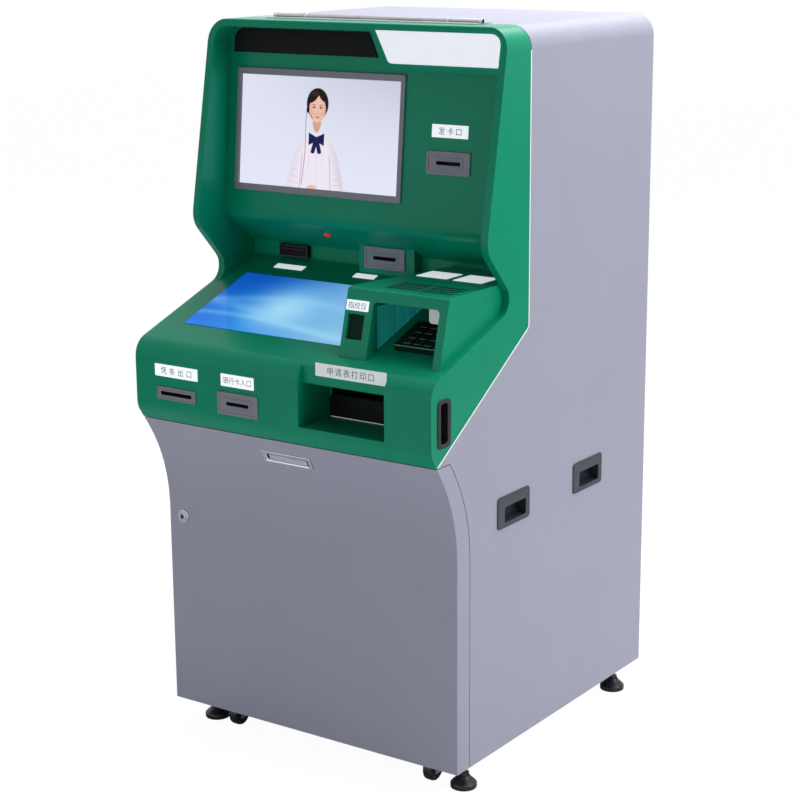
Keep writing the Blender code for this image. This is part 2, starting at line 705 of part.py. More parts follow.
def trim_to_outline(body, inset=0.0):
    """Keep what lies within the moulding's outer skin, or a little inside it."""
    skin = solid(extended_front(-inset), "X", -WIDTH / 2 + inset, WIDTH / 2 - inset)
    trim = top_rounded(WIDTH / 2 - inset, HEIGHT - inset, TOP_RADIUS - inset, -0.6, 0.8)
    return combine(body, combine(skin, trim, "INTERSECT"), "INTERSECT")


def make_mouldings(parent):
    """Green hood and console with recess, header box and form pocket, parted at a level joint."""
    body = solid(rounded(console_side()), "X", -WIDTH / 2, WIDTH / 2)
    combine(body, top_rounded(WIDTH / 2, HEIGHT, TOP_RADIUS, -0.6, 0.6), "INTERSECT")
    hollow = solid(extended_front(-MOULDING), "X", -WIDTH / 2 + MOULDING, WIDTH / 2 - MOULDING)
    trim = top_rounded(WIDTH / 2 - MOULDING, HEIGHT - MOULDING, TOP_RADIUS - MOULDING, -0.6, 0.8)
    cut(body, combine(hollow, trim, "INTERSECT"))
    join(body, trim_to_outline(recess_body(MOULDING)))
    cut(body, recess_body(0.0))
    header = solid(rounded(header_outline(0.0)), "Y", 0.05, 0.30)
    behind = solid([(back_y(FAR) + 0.001, FAR), (back_y(FAR) + 1, FAR), (back_y(0.5) + 1, 0.5),
                    (back_y(0.5) + 0.001, 0.5)], "X", -1, 1)
    join(body, trim_to_outline(cut(header, behind), TOUCH_GAP))
    surround = block((SURROUND_X - SURROUND_WIDTH / 2, SURROUND_X + SURROUND_WIDTH / 2),
                     (SURROUND_FRONT_Y, SHELF_WALL_Y + 0.001),
                     (deck_z(SURROUND_FRONT_Y) - 0.002, SURROUND_TOP_Z),
                     0.006, "Y")
    join(body, surround)
    add_form_pocket(body)
    cut_module_openings(body)
    console = bpy.data.objects.new("console", body.data.copy())
    bpy.context.scene.collection.objects.link(console)
    cut(body, block((-WIDTH, WIDTH), (-1.0, 1.0), (0.5, LEVEL_JOINT_Z + TOUCH_GAP)))
    cut(console, block((-WIDTH, WIDTH), (-1.0, 1.0), (LEVEL_JOINT_Z, 2.0)))
    finish(body, "hood_moulding", "green_lacquer", (0.0, SEAM_Y, HOOD_AXIS_Z), parent)
    finish(console, "console_moulding", "green_lacquer", (0.0, SEAM_Y, HOOD_AXIS_Z), parent)


def add_form_pocket(body):
    """Sunk pocket for printed forms, with a set-back lip across its top."""
    wall = MOULDING
    outside = block((POCKET_LEFT - wall, POCKET_RIGHT + wall), (NOSE_Y + 0.002, POCKET_REAR_Y + wall),
                    (POCKET_FLOOR_Z - wall, POCKET_ROOF_Z + wall))
    lip = block((POCKET_LEFT - wall, POCKET_RIGHT + wall), (NOSE_Y + 0.002, LIP_FACE_Y + 0.018),
                (POCKET_ROOF_Z, deck_z(LIP_FACE_Y) + 0.02))
    join(body, outside, trim_to_outline(lip, TOUCH_GAP))
    profile = [(-0.2, POCKET_FLOOR_Z), (POCKET_REAR_Y, POCKET_FLOOR_Z), (POCKET_REAR_Y, POCKET_ROOF_Z),
               (LIP_FACE_Y, POCKET_ROOF_Z, LIP_ROLL), (LIP_FACE_Y, 1.0), (-0.2, 1.0)]
    pocket = solid(rounded(profile), "X", POCKET_LEFT, POCKET_RIGHT)
    slot = block((POCKET_LEFT + 0.004, POCKET_RIGHT - 0.004), (POCKET_REAR_Y - 0.01, POCKET_REAR_Y + 0.02),
                 (POCKET_FLOOR_Z + 0.044, POCKET_FLOOR_Z + 0.060))
    cut(body, pocket, slot)


def module_opening(width, height, frame=Matrix.Identity(4), depth=0.12):
    """A rectangular hole cutter centred on a frame."""
    hole = block((-width / 2, width / 2), (-0.01, depth), (-height / 2, height / 2))
    return moved(hole, frame)


def cut_module_openings(body):
    """Holes for the screens, the card and paper modules, the lamp and the side grips."""
    clear = 0.0006
    cut(body, module_opening(PANEL_WIDTH + 0.004, PANEL_HEIGHT + 0.004, back_frame(MONITOR_X, MONITOR_Z),
                             0.03))
    cut(body, module_opening(TOUCH_WIDTH + clear, TOUCH_LENGTH + clear, deck_frame(TOUCH_X, TOUCH_Y), 0.03))
    throat = (CARD_BEZEL_WIDTH - 0.012 + clear, CARD_BEZEL_HEIGHT - 0.012 + clear)
    cut(body, module_opening(*throat, back_frame(OUTLET_X, OUTLET_Z), 0.03))
    cut(body, module_opening(*throat, leaning(READER_X, SURROUND_FRONT_Y, READER_Z, 0.0)))
    cut(body, module_opening(*throat, leaning(BANK_X, NOSE_Y, BANK_Z, 0.0), 0.03))
    cut(body, module_opening(RECEIPT_BEZEL_WIDTH - 0.008 + clear, RECEIPT_BEZEL_HEIGHT - 0.008 + clear,
                             leaning(RECEIPT_X, NOSE_Y, RECEIPT_Z, 0.0), 0.03))
    scanner_z = (SHELF_WALL_Z + deck_z(SHELF_WALL_Y)) / 2 + 0.002
    cut(body, module_opening(SCANNER_WIDTH - 0.008 + clear, 0.020,
                             leaning(SCANNER_X, SHELF_WALL_Y, scanner_z, 0.0), 0.03))
    hole = rod("Y", (0.0, 0.0), 0.0055, -0.01, 0.02, 16)
    cut(body, moved(hole, under_hood_frame(INDICATOR_X, 0.45)))
    for side in (-1, 1):
        cut(body, cup_cutout(side, GRIP_Y, GRIP_Z, GRIP_WIDTH - 0.008, GRIP_LENGTH - 0.008, WIDTH / 2))


def make_keypad_housing(parent):
    """Cover over the keypad: leaning front, level top with louvres, open tunnel and a column on the left."""
    base = TOUCH_GAP / math.cos(DECK_SLOPE)
    right = INNER_X - TOUCH_GAP
    top_y = HOUSING_FRONT_Y + (HOUSING_TOP_Z - deck_z(HOUSING_FRONT_Y)) * math.tan(HOUSING_LEAN)
    side = [(HOUSING_FRONT_Y, deck_z(HOUSING_FRONT_Y) + base), (top_y, HOUSING_TOP_Z, 0.008),
            (HOUSING_REAR_Y, HOUSING_TOP_Z), (HOUSING_REAR_Y, deck_z(HOUSING_REAR_Y) + base)]
    body = solid(rounded(side), "X", HOUSING_LEFT, right)
    taper = [(HOUSING_LEFT - 0.1, 0.03), (HOUSING_LEFT, 0.03), (HOUSING_REAR_LEFT, HOUSING_REAR_Y + 0.01),
             (HOUSING_LEFT - 0.1, HOUSING_REAR_Y + 0.01)]
    cut(body, solid(taper, "Z", 0.5, 1.2))
    tunnel_x = (TUNNEL_LEFT, right - TUNNEL_WALL)
    tunnel = block(tunnel_x, (HOUSING_FRONT_Y - 0.1, TUNNEL_REAR_Y), (0.7, HOUSING_TOP_Z - TUNNEL_ROOF),
                   TUNNEL_CORNER, "Y", 30)
    cut(body, tunnel)
    finger = block((-0.0195, 0.0195), (-0.02, 0.016), (-0.025, 0.025), 0.002, "Y")
    cut(body, moved(finger, housing_frame(HOUSING_LEFT + 0.0285, 0.960)))
    middle = (tunnel_x[0] + tunnel_x[1]) / 2
    for row in range(LOUVRE_ROWS):
        y = 0.032 + row * LOUVRE_PITCH
        for offset in (-LOUVRE_WIDTH / 2 - 0.005, LOUVRE_WIDTH / 2 + 0.005):
            cut(body, block((middle + offset - LOUVRE_WIDTH / 2, middle + offset + LOUVRE_WIDTH / 2),
                            (y, y + LOUVRE_SLOT), (HOUSING_TOP_Z - TUNNEL_ROOF - 0.01, HOUSING_TOP_Z + 0.01)))
    finish(body, "keypad_housing", "green_lacquer", parent=parent)
    glass = block((-0.0175, 0.0175), (0.0070, 0.0157), (-0.023, 0.023), 0.002, "Y")
    glass = moved(glass, housing_frame(HOUSING_LEFT + 0.0285, 0.960))
    finish(glass, "fingerprint_reader", "dark_glass", parent=parent)


def key_places():
    """Column and row offsets of the keys from the pad's centre."""
    return [((column - 1) * KEY_PITCH_X, (1.5 - row) * KEY_PITCH_Y)
            for row in range(4) for column in range(3)]


def make_keypad(parent):
    """Keypad on the tunnel floor with twelve sprung keys in wells."""
    base, top = -TOUCH_GAP, -TOUCH_GAP - PAD_HEIGHT
    pad = block((-PAD_WIDTH / 2, PAD_WIDTH / 2), (top, base), (-PAD_LENGTH / 2, PAD_LENGTH / 2), 0.004, "Y")
    well = (KEY_WIDTH / 2 + KEY_CLEARANCE, KEY_LENGTH / 2 + KEY_CLEARANCE)
    frame = deck_frame(PAD_X, PAD_Y)
    for x, z in key_places():
        cut(pad, block((x - well[0], x + well[0]), (top - 0.01, top + WELL_DEPTH),
                       (z - well[1], z + well[1])))
    finish(moved(pad, frame), "pin_pad", "black_plastic", parent=parent)
    for number, (x, z) in enumerate(key_places(), 1):
        key = block((x - KEY_WIDTH / 2, x + KEY_WIDTH / 2), (top - KEY_RISE, top - KEY_RISE + KEY_HEIGHT),
                    (z - KEY_LENGTH / 2, z + KEY_LENGTH / 2), 0.002, "Y")
        pivot = frame @ Matrix.Translation((x, top - KEY_RISE, z))
        finish(moved(key, frame), f"pin_key_{number:02d}", "steel", pivot.translation, parent)


def make_screens(parent):
    """Upper screen with its bezel, dark camera strip, header plate and flush touch screen."""
    frame = back_frame(MONITOR_X, MONITOR_Z)
    half_x, half_z = PANEL_WIDTH / 2, PANEL_HEIGHT / 2
    bezel = block((-half_x - BEZEL_BORDER_X, half_x + BEZEL_BORDER_X), (-0.0045, -TOUCH_GAP),
                  (-half_z - BEZEL_BORDER_Z, half_z + BEZEL_BORDER_Z), 0.003, "Y")
    cut(bezel, block((-half_x, half_x), (-0.02, 0.02), (-half_z, half_z)))
    finish(moved(bezel, frame), "monitor_bezel", "module_grey", parent=parent)
    screen = block((-half_x - 0.001, half_x + 0.001), (0.0, 0.010), (-half_z - 0.001, half_z + 0.001))
    join(screen, block((-half_x - 0.012, half_x + 0.012), (MOULDING + TOUCH_GAP, MOULDING + MONITOR_DEPTH),
                       (-half_z - 0.014, half_z + 0.014)))
    finish(moved(screen, frame), "upper_monitor", "screen_glass", parent=parent)
    top = HEIGHT - CAMERA_STRIP_TOP
    foot = top - CAMERA_STRIP_HEIGHT
    middle = (top + foot) / 2
    left = -INNER_X + 0.012
    half = CAMERA_STRIP_HEIGHT / 2
    strip = solid(rounded([(left, -half), (HEADER_LEFT_TOP - 0.014, -half),
                           (HEADER_LEFT_TOP - 0.040, half), (left, half, 0.024)]),
                  "Y", -0.004, -TOUCH_GAP)
    finish(moved(strip, back_frame(0.0, middle)), "camera_strip", "dark_glass", parent=parent)
    plate_z = HEIGHT - HEADER_HEIGHT / 2
    corners = [(x, z - plate_z, *radius) for x, z, *radius in header_outline(HEADER_BORDER)]
    plate = solid(rounded(corners), "Y", -0.0025, -TOUCH_GAP)
    finish(moved(plate, hood_frame(plate_z)), "header_plate", "white_plastic", parent=parent)
    touch = block((-TOUCH_WIDTH / 2, TOUCH_WIDTH / 2), (0.0, 0.008), (-TOUCH_LENGTH / 2, TOUCH_LENGTH / 2))
    join(touch, block((-TOUCH_WIDTH / 2 - 0.010, TOUCH_WIDTH / 2 + 0.010), (MOULDING + TOUCH_GAP, 0.034),
                      (-TOUCH_LENGTH / 2 - 0.008, TOUCH_LENGTH / 2 + 0.008)))
    finish(moved(touch, deck_frame(TOUCH_X, TOUCH_Y)), "touch_monitor", "screen_glass", parent=parent)


def module_body(bezel, slot_width, throat_margin, frame, housing):
    """Bezel plate with a slot, its throat through the wall and the housing behind it."""
    width, height = bezel
    body = block((-width / 2, width / 2), (-BEZEL_THICKNESS, -TOUCH_GAP), (-height / 2, height / 2), 0.002,
                 "Y")
    throat_x, throat_z = width / 2 - throat_margin, height / 2 - throat_margin
    join(body, block((-throat_x, throat_x), (-0.001, housing[1][0] + 0.004), (-throat_z, throat_z)))
    join(body, block(*housing))
    cut(body, block((-slot_width / 2, slot_width / 2), (-0.02, SLOT_DEPTH),
                    (-SLOT_HEIGHT / 2, SLOT_HEIGHT / 2)))
    return moved(body, frame)


def make_modules(parent):
    """Card outlet with its dispenser, the two card readers, receipt printer, scanner and indicator."""
    card = (CARD_BEZEL_WIDTH, CARD_BEZEL_HEIGHT)
    behind = MOULDING + 0.002
    dispenser = ((-0.055, 0.055), (behind, 0.170), (-0.120, 0.100))
    finish(module_body(card, CARD_SLOT_WIDTH, 0.006, back_frame(OUTLET_X, OUTLET_Z), dispenser),
           "card_dispenser", "module_grey", parent=parent)
    depth = SHELF_WALL_Y - SURROUND_FRONT_Y + MOULDING
    reader = ((-0.044, 0.044), (depth + 0.002, depth + 0.090), (-0.016, 0.030))
    reader_frame = leaning(READER_X, SURROUND_FRONT_Y, READER_Z, 0.0)
    finish(module_body(card, CARD_SLOT_WIDTH, 0.006, reader_frame, reader),
           "id_card_reader", "module_grey", parent=parent)
    bank = ((-0.046, 0.046), (behind, 0.160), (-0.026, 0.034))
    finish(module_body(card, CARD_SLOT_WIDTH, 0.006, leaning(BANK_X, NOSE_Y, BANK_Z, 0.0), bank),
           "bank_card_reader", "module_grey", parent=parent)
    receipt = ((-0.058, 0.058), (behind, 0.120), (-0.028, 0.060))
    finish(module_body((RECEIPT_BEZEL_WIDTH, RECEIPT_BEZEL_HEIGHT), RECEIPT_SLOT_WIDTH, 0.004,
                       leaning(RECEIPT_X, NOSE_Y, RECEIPT_Z, 0.0), receipt),
           "receipt_printer", "module_grey", parent=parent)
    scanner_z = (SHELF_WALL_Z + deck_z(SHELF_WALL_Y)) / 2 + 0.002
    half_x = SCANNER_WIDTH / 2
    face = (SHELF_WALL_Y - 0.012, SHELF_WALL_Y - TOUCH_GAP)
    floor_z = deck_z(SHELF_WALL_Y) + 0.003
    scanner = block((SCANNER_X - half_x, SCANNER_X + half_x), face,
                    (floor_z, floor_z + SCANNER_HEIGHT - 0.006))
    join(scanner, block((SCANNER_X - half_x + 0.004, SCANNER_X + half_x - 0.004),
                        (face[0] + 0.002, SHELF_WALL_Y + 0.050), (scanner_z - 0.0097, scanner_z + 0.0097)))
    finish(scanner, "document_scanner", "dark_glass", parent=parent)
    lens = rod("Y", (0.0, 0.0), INDICATOR_RADIUS, -0.003, -TOUCH_GAP, 24)
    join(lens, rod("Y", (0.0, 0.0), 0.005, -0.001, 0.014, 12))
    finish(moved(lens, under_hood_frame(INDICATOR_X, 0.45)), "indicator_lens", "red_lens", parent=parent)


def make_grips(parent):
    """Black cups in both sides of the console, by which the hood is lifted."""
    for name, side in (("grip_left", -1), ("grip_right", 1)):
        cup = (GRIP_WIDTH - 0.0088, GRIP_LENGTH - 0.0088)
        make_cup(name, side, WIDTH / 2, (GRIP_Y, GRIP_Z), (GRIP_WIDTH, GRIP_LENGTH), cup, 0.024, parent)


def make_hood_hinge(parent):
    """Piano hinge on the top: a fixed leaf with the pin and a moving leaf with its own knuckles."""
    pitch = HOOD_HINGE_LENGTH / KNUCKLES
    start = -HOOD_HINGE_LENGTH / 2
    centre = (SEAM_Y, HOOD_AXIS_Z)
    low = HEIGHT + TOUCH_GAP
    leaf = 0.0018
    fixed = block((start, -start), (SEAM_Y + 0.0030, SEAM_Y + 0.030), (low, low + leaf))
    moving = block((start, -start), (SEAM_Y - 0.030, SEAM_Y - 0.0030), (low, low + leaf))
    for index in range(KNUCKLES):
        x0, x1 = start + index * pitch, start + (index + 1) * pitch
        relief = block((x0 - 0.0005, x1 + 0.0005), (SEAM_Y - 0.0056, SEAM_Y + 0.0056),
                       (low - 0.01, low + 0.02))
        knuckle = rod("X", centre, 0.0046, x0 + 0.0004, x1 - 0.0004, 16)
        if index % 2:
            cut(fixed, relief)
            join(knuckle, block((x0 + 0.0004, x1 - 0.0004), (SEAM_Y - 0.0060, SEAM_Y), (low, low + leaf)))
            join(moving, knuckle)
        else:
            cut(moving, relief)
            join(knuckle, block((x0 + 0.0004, x1 - 0.0004), (SEAM_Y, SEAM_Y + 0.0060), (low, low + leaf)))
            join(fixed, knuckle)
    cut(moving, rod("X", centre, 0.0026, start - 0.01, -start + 0.01, 12))
    join(fixed, rod("X", centre, 0.0022, start + 0.001, -start - 0.001, 12))
    finish(fixed, "hood_hinge_fixed", "zinc_steel")
    finish(moving, "hood_hinge_moving", "zinc_steel", (0.0, SEAM_Y, HOOD_AXIS_Z), parent)


def make_strut():
    """Gas strut that carries the lifted hood: cylinder on the cabinet, rod ending at the hood's side."""
    base_y, base_z = STRUT_BASE
    eye_y, eye_z = STRUT_EYE
    length = math.hypot(eye_y - base_y, eye_z - base_z)
    angle = math.atan2(eye_z - base_z, eye_y - base_y)
    frame = Matrix.Translation((STRUT_X, base_y, base_z)) @ Matrix.Rotation(angle, 4, "X")
    cylinder = rod("Y", (0.0, 0.0), 0.0085, 0.010, length - 0.035, 20)
    join(cylinder, block((-0.004, 0.004), (-0.008, 0.014), (-0.007, 0.007), 0.003, "X"))
    join(cylinder, rod("X", (0.0, 0.0), 0.004, -0.004, 0.0095, 12))
    cut(cylinder, rod("Y", (0.0, 0.0), 0.0048, 0.030, length, 16))
    finish(moved(cylinder, frame), "strut_cylinder", "black_plastic", (STRUT_X, base_y, base_z))
    bar = rod("Y", (0.0, 0.0), 0.0040, 0.040, length - 0.006, 16)
    join(bar, block((-0.004, 0.004), (length - 0.014, length + 0.007), (-0.006, 0.006), 0.002, "X"))
    finish(moved(bar, frame), "strut_rod", "steel", (STRUT_X, base_y, base_z))


# ---------------------------------------------------------------- feet and castors

def make_foot(name, x, y):
    """Levelling foot: bell-shaped pad with a threaded stem."""
    body = rod("Z", (x, y), FOOT_RADIUS, 0.0, 0.008, 24)
    rings = [(FOOT_RADIUS, 0.008), (FOOT_RADIUS * 0.55, 0.022)]
    join(body, cone((x, y), rings), rod("Z", (x, y), 0.012, 0.021, 0.030, 6))
    join(body, rod("Z", (x, y), 0.006, 0.029, BASE_Z - TOUCH_GAP, 12))
    finish(body, name, "black_rubber", (x, y, 0.0))


def cone(centre, rings, sides=24):
    """A turned frustum between two rings (radius, height), sunk 0.1 mm into what is below it."""
    (low_radius, low), (high_radius, high) = rings
    low -= 0.0001
    vertices = [(centre[0] + radius * math.cos(2 * math.pi * i / sides),
                 centre[1] + radius * math.sin(2 * math.pi * i / sides), height)
                for radius, height in ((low_radius, low), (high_radius, high)) for i in range(sides)]
    faces = [list(range(sides))[::-1], list(range(sides, 2 * sides))]
    faces += [[i, (i + 1) % sides, (i + 1) % sides + sides, i + sides] for i in range(sides)]
    mesh = bpy.data.meshes.new("cone")
    mesh.from_pydata(vertices, [], faces)
    body = bpy.data.objects.new("cone", mesh)
    bpy.context.scene.collection.objects.link(body)
    return body


def make_castor(place, x, y):
    """Swivel castor: fork under the base and a wheel on its axle."""
    axle_y, axle_z = y + CASTOR_TRAIL, CASTOR_LIFT + WHEEL_RADIUS
    half = WHEEL_WIDTH / 2
    plate_z = (BASE_Z - 0.0045, BASE_Z - TOUCH_GAP)
    fork = rod("Z", (x, y), 0.019, *plate_z, 16)
    crown = (BASE_Z - 0.0070, BASE_Z - 0.0044)
    join(fork, block((x - half - 0.004, x + half + 0.004), (y - 0.012, axle_y + 0.010), crown))
    for side in (-1, 1):
        leg = sorted((x + side * (half + 0.0012), x + side * (half + 0.0040)))
        join(fork, block(leg, (axle_y - 0.010, axle_y + 0.010), (axle_z - 0.009, BASE_Z - 0.0046)))
    cut(fork, rod("X", (axle_y, axle_z), 0.0044, x - 0.05, x + 0.05, 12))
    finish(fork, f"castor_fork_{place}", "zinc_steel", (x, y, BASE_Z))
    wheel = rod("X", (axle_y, axle_z), WHEEL_RADIUS, x - half, x + half, 24)
    join(wheel, rod("X", (axle_y, axle_z), 0.0040, x - half - 0.0045, x + half + 0.0045, 10))
    finish(wheel, f"castor_wheel_{place}", "black_plastic", (x, axle_y, axle_z))


def make_ground_contact():
    """Four levelling feet near the corners, with a castor inboard of each."""
    for depth_name, foot_y, castor_y in zip(("front", "rear"), FOOT_Y, CASTOR_Y):
        for side_name, foot_x, castor_x in zip(("left", "right"), FOOT_X, CASTOR_X):
            make_foot(f"foot_{depth_name}_{side_name}", foot_x, foot_y)
            make_castor(f"{depth_name}_{side_name}", castor_x, castor_y)


def main():
    for old in list(bpy.data.objects):
        bpy.data.objects.remove(old)
    make_materials()
    group("kiosk", (0.0, -middle_depth(), 0.0))
    door = group("door_group", (DOOR_AXIS_X, DOOR_AXIS_Y, 0.0))
    hood = group("hood_group", (0.0, SEAM_Y, HOOD_AXIS_Z))
    make_cabinet()
    make_rear_panel()
    for row, y in zip(("front", "rear"), SIDE_PULL_Y):
        for side_name, side in (("left", -1), ("right", 1)):
            make_side_pull(f"side_pull_{row}_{side_name}", side, y)
    make_computer()
    make_printer()
    make_door(door)
    make_door_fittings(door)
    make_mouldings(hood)
    make_keypad_housing(hood)
    make_keypad(hood)
    make_screens(hood)
    make_modules(hood)
    make_grips(hood)
    make_hood_hinge(hood)
    make_strut()
    make_ground_contact()


main()
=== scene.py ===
"""Looks of a self-service card kiosk: shells, screens, labels, modules, keypad, pulls, feet, trims and stage.

Depths in this file are measured from the plane of the flat lower door, as heights are from the floor;
the one function that makes objects carries every piece into the shared frame.
"""

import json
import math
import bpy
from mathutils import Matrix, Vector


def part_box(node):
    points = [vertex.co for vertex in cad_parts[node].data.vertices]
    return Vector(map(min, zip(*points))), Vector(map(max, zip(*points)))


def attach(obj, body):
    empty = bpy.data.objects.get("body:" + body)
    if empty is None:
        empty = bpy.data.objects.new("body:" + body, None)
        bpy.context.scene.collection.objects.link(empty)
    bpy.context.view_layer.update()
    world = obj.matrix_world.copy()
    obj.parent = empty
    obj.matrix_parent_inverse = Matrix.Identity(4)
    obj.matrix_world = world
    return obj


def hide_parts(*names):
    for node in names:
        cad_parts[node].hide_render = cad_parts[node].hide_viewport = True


bl_info = {
    "name": "Self-Service Card Kiosk",
    "version": (1, 0, 0),
    "blender": (4, 5, 0),
    "location": "3D View > Sidebar > Kiosk",
    "description": "Shells, screens, labels, modules and trims of a card kiosk on its packed frame",
    "category": "Add Mesh",
}

import bmesh
import bpy
import numpy as np
from bpy.props import FloatProperty, FloatVectorProperty, PointerProperty
from mathutils import Matrix, Vector

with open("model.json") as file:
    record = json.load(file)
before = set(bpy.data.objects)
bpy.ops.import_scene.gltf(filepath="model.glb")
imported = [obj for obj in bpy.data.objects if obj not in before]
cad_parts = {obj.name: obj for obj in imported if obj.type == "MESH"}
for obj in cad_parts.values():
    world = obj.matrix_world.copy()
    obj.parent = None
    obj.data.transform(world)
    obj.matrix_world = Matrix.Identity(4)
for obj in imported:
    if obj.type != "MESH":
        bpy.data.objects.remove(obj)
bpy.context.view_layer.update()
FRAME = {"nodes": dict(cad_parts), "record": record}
JOINTS = {joint["name"]: joint for joint in FRAME["record"]["behaviour"]["joints"]}
DOOR_Y = JOINTS["lock_turn"]["pos_m"][1]

# Slopes and places that the frame's solids share
DECK_SLOPE = math.radians(19.4)
DECK_NOSE = (-0.0905, 0.8814)
WALL_LEAN = math.radians(5.3)
WALL_POINT = (0.2025, 1.184)
HOUSING_LEAN = math.radians(14.8)
HOUSING_FRONT_Y = -0.0375
HOUSING_TOP_Z = 1.034
CONSOLE_Y = -0.0905
LIP_Y = -0.075
SIDE_X = 0.370
TOP_Z = 1.530
HOOD_BACK_Y = 0.2615
GAP = 0.0003

# How the skins, words and pictures are made
WELD_DISTANCE = 0.00002
FLAT_ANGLE = 0.6
INK_THICKNESS = 0.00008
DISPLAY_GAMMA = 2.2


def deck_z(y):
    """Height of the console deck at a depth."""
    return DECK_NOSE[1] + (y - DECK_NOSE[0]) * math.tan(DECK_SLOPE)


def wall_y(z):
    """Depth of the leaning recess wall at a height."""
    return WALL_POINT[0] + (z - WALL_POINT[1]) * math.tan(WALL_LEAN)


# ---------------------------------------------------------------- frames
# In every frame local -Y points out of the surface, local X runs to the right along it and local Z up it.

def leaning(x, y, z, lean=0.0):
    """Frame on a face turned back by an angle about X."""
    return Matrix.Translation((x, y, z)) @ Matrix.Rotation(-lean, 4, "X")


def on_wall(x, z):
    """Frame on the recess wall."""
    return leaning(x, wall_y(z), z, WALL_LEAN)


def on_deck(x, y, lift=0.0):
    """Frame on the console deck."""
    return leaning(x, y, deck_z(y) + lift, math.pi / 2 - DECK_SLOPE)


def on_top(x, y, z):
    """Frame on a level face."""
    return leaning(x, y, z, math.pi / 2)


def on_side(side, y, z, x=SIDE_X):
    """Frame on a side wall; side is -1 for the left and 1 for the right."""
    return Matrix.Translation((side * x, y, z)) @ Matrix.Rotation(side * math.pi / 2, 4, "Z")


def on_rear(x, z, y):
    """Frame on the rear, facing backwards."""
    return Matrix.Translation((x, y, z)) @ Matrix.Rotation(math.pi, 4, "Z")


def on_housing(x, z):
    """Frame on the keypad housing's leaning front."""
    y = HOUSING_FRONT_Y + (z - deck_z(HOUSING_FRONT_Y)) * math.tan(HOUSING_LEAN)
    return leaning(x, y, z, HOUSING_LEAN)


# ---------------------------------------------------------------- surfaces

CORNER_STEPS = 6


def grid_faces(rows, columns, wrap_columns=False, wrap_rows=False):
    """Quads of a grid: each point is joined to the next in its row and to the two behind them."""
    row, column = np.meshgrid(np.arange(rows if wrap_rows else rows - 1),
                              np.arange(columns if wrap_columns else columns - 1), indexing="ij")
    after, beside = (row + 1) % rows, (column + 1) % columns
    quads = [row * columns + column, row * columns + beside,
             after * columns + beside, after * columns + column]
    return np.stack(quads, axis=-1).reshape(-1, 4)


def ring(width, height, radius, x=0.0, z=0.0):
    """Rounded rectangle: each corner is a quarter circle about a point one radius inside both edges."""
    radius = min(radius, width / 2 - 1e-5, height / 2 - 1e-5)
    quarters = np.arange(4) * math.pi / 2
    turn = np.concatenate([np.linspace(start, start + math.pi / 2, CORNER_STEPS) for start in quarters])
    sign_x, sign_z = np.repeat([1, -1, -1, 1], CORNER_STEPS), np.repeat([1, 1, -1, -1], CORNER_STEPS)
    return np.stack([x + sign_x * (width / 2 - radius) + radius * np.cos(turn),
                     z + sign_z * (height / 2 - radius) + radius * np.sin(turn)], axis=-1)


def loft(rings, wrap=False):
    """Surface through rounded rectangles (width, height, radius, depth, x, z), closed by its end faces."""
    layers = []
    for width, height, radius, depth, *place in rings:
        outline = ring(width, height, radius, *place)
        layers.append(np.column_stack([outline[:, 0], np.full(len(outline), depth), outline[:, 1]]))
    return close(np.array(layers), wrap)


def turned(profile, sides=40):
    """Surface of revolution: each (radius, depth) of the profile is a circle about local Y."""
    angle = np.arange(sides) * 2 * math.pi / sides
    radius, depth = np.array(profile, float).T
    points = np.stack([np.outer(radius, np.cos(angle)), np.repeat(depth[:, None], sides, axis=1),
                       np.outer(radius, np.sin(angle))], axis=-1)
    return close(points)


def close(points, wrap=False):
    """Points and faces of a stack of closed outlines, with a face over each end or with the ends joined."""
    rows, columns = points.shape[:2]
    faces = grid_faces(rows, columns, True, wrap).tolist()
    if not wrap:
        faces += [list(range(columns))[::-1], list(range((rows - 1) * columns, rows * columns))]
    return points.reshape(-1, 3), faces


def round_over(width, height, radius, depth, edge, steps=4):
    """Rings over a front edge: width and height shrink as 1 - cos while the depth rises as sin."""
    angle = np.linspace(0, math.pi / 2, steps)
    inset = edge * (1 - np.cos(angle))
    rise = edge * np.sin(angle)
    return [(width - 2 * i, height - 2 * i, max(radius - i, 0.0003), -(depth - edge) - r)
            for i, r in zip(inset, rise)]


def plate(width, height, radius, thickness, edge=0.0003, back=0.0):
    """Flat plate on a face, with a rounded front edge."""
    return loft([(width, height, radius, back)] + round_over(width, height, radius, thickness, edge))


def joined(*parts):
    """One mesh from several surfaces."""
    points, faces, start = [], [], 0
    for part_points, part_faces in parts:
        points.append(part_points)
        faces += [[index + start for index in face] for face in part_faces]
        start += len(part_points)
    return np.concatenate(points), faces


def shifted(part, x=0.0, y=0.0, z=0.0):
    """A surface moved in its own frame."""
    return part[0] + np.array([x, y, z]), part[1]


def placed(part, frame):
    """A surface carried by a frame."""
    matrix = np.array(frame)
    return part[0] @ matrix[:3, :3].T + matrix[:3, 3], part[1]


# ---------------------------------------------------------------- objects

def make_piece(name, part, finish, body, frame=None, replaces=(), sharp=35, smooth_weights=True):
    """The one way to make an object: its mesh is placed in the shared frame and dressed."""
    points, faces = placed(part, frame) if frame is not None else part
    mesh = bpy.data.meshes.new(name)
    mesh.from_pydata((points + np.array([0.0, DOOR_Y, 0.0])).tolist(), [], faces)
    work = bmesh.new()
    work.from_mesh(mesh)
    bmesh.ops.recalc_face_normals(work, faces=work.faces)
    work.to_mesh(mesh)
    work.free()
    return dress(bpy.data.objects.new(name, mesh), finish, body, replaces, sharp, smooth_weights)


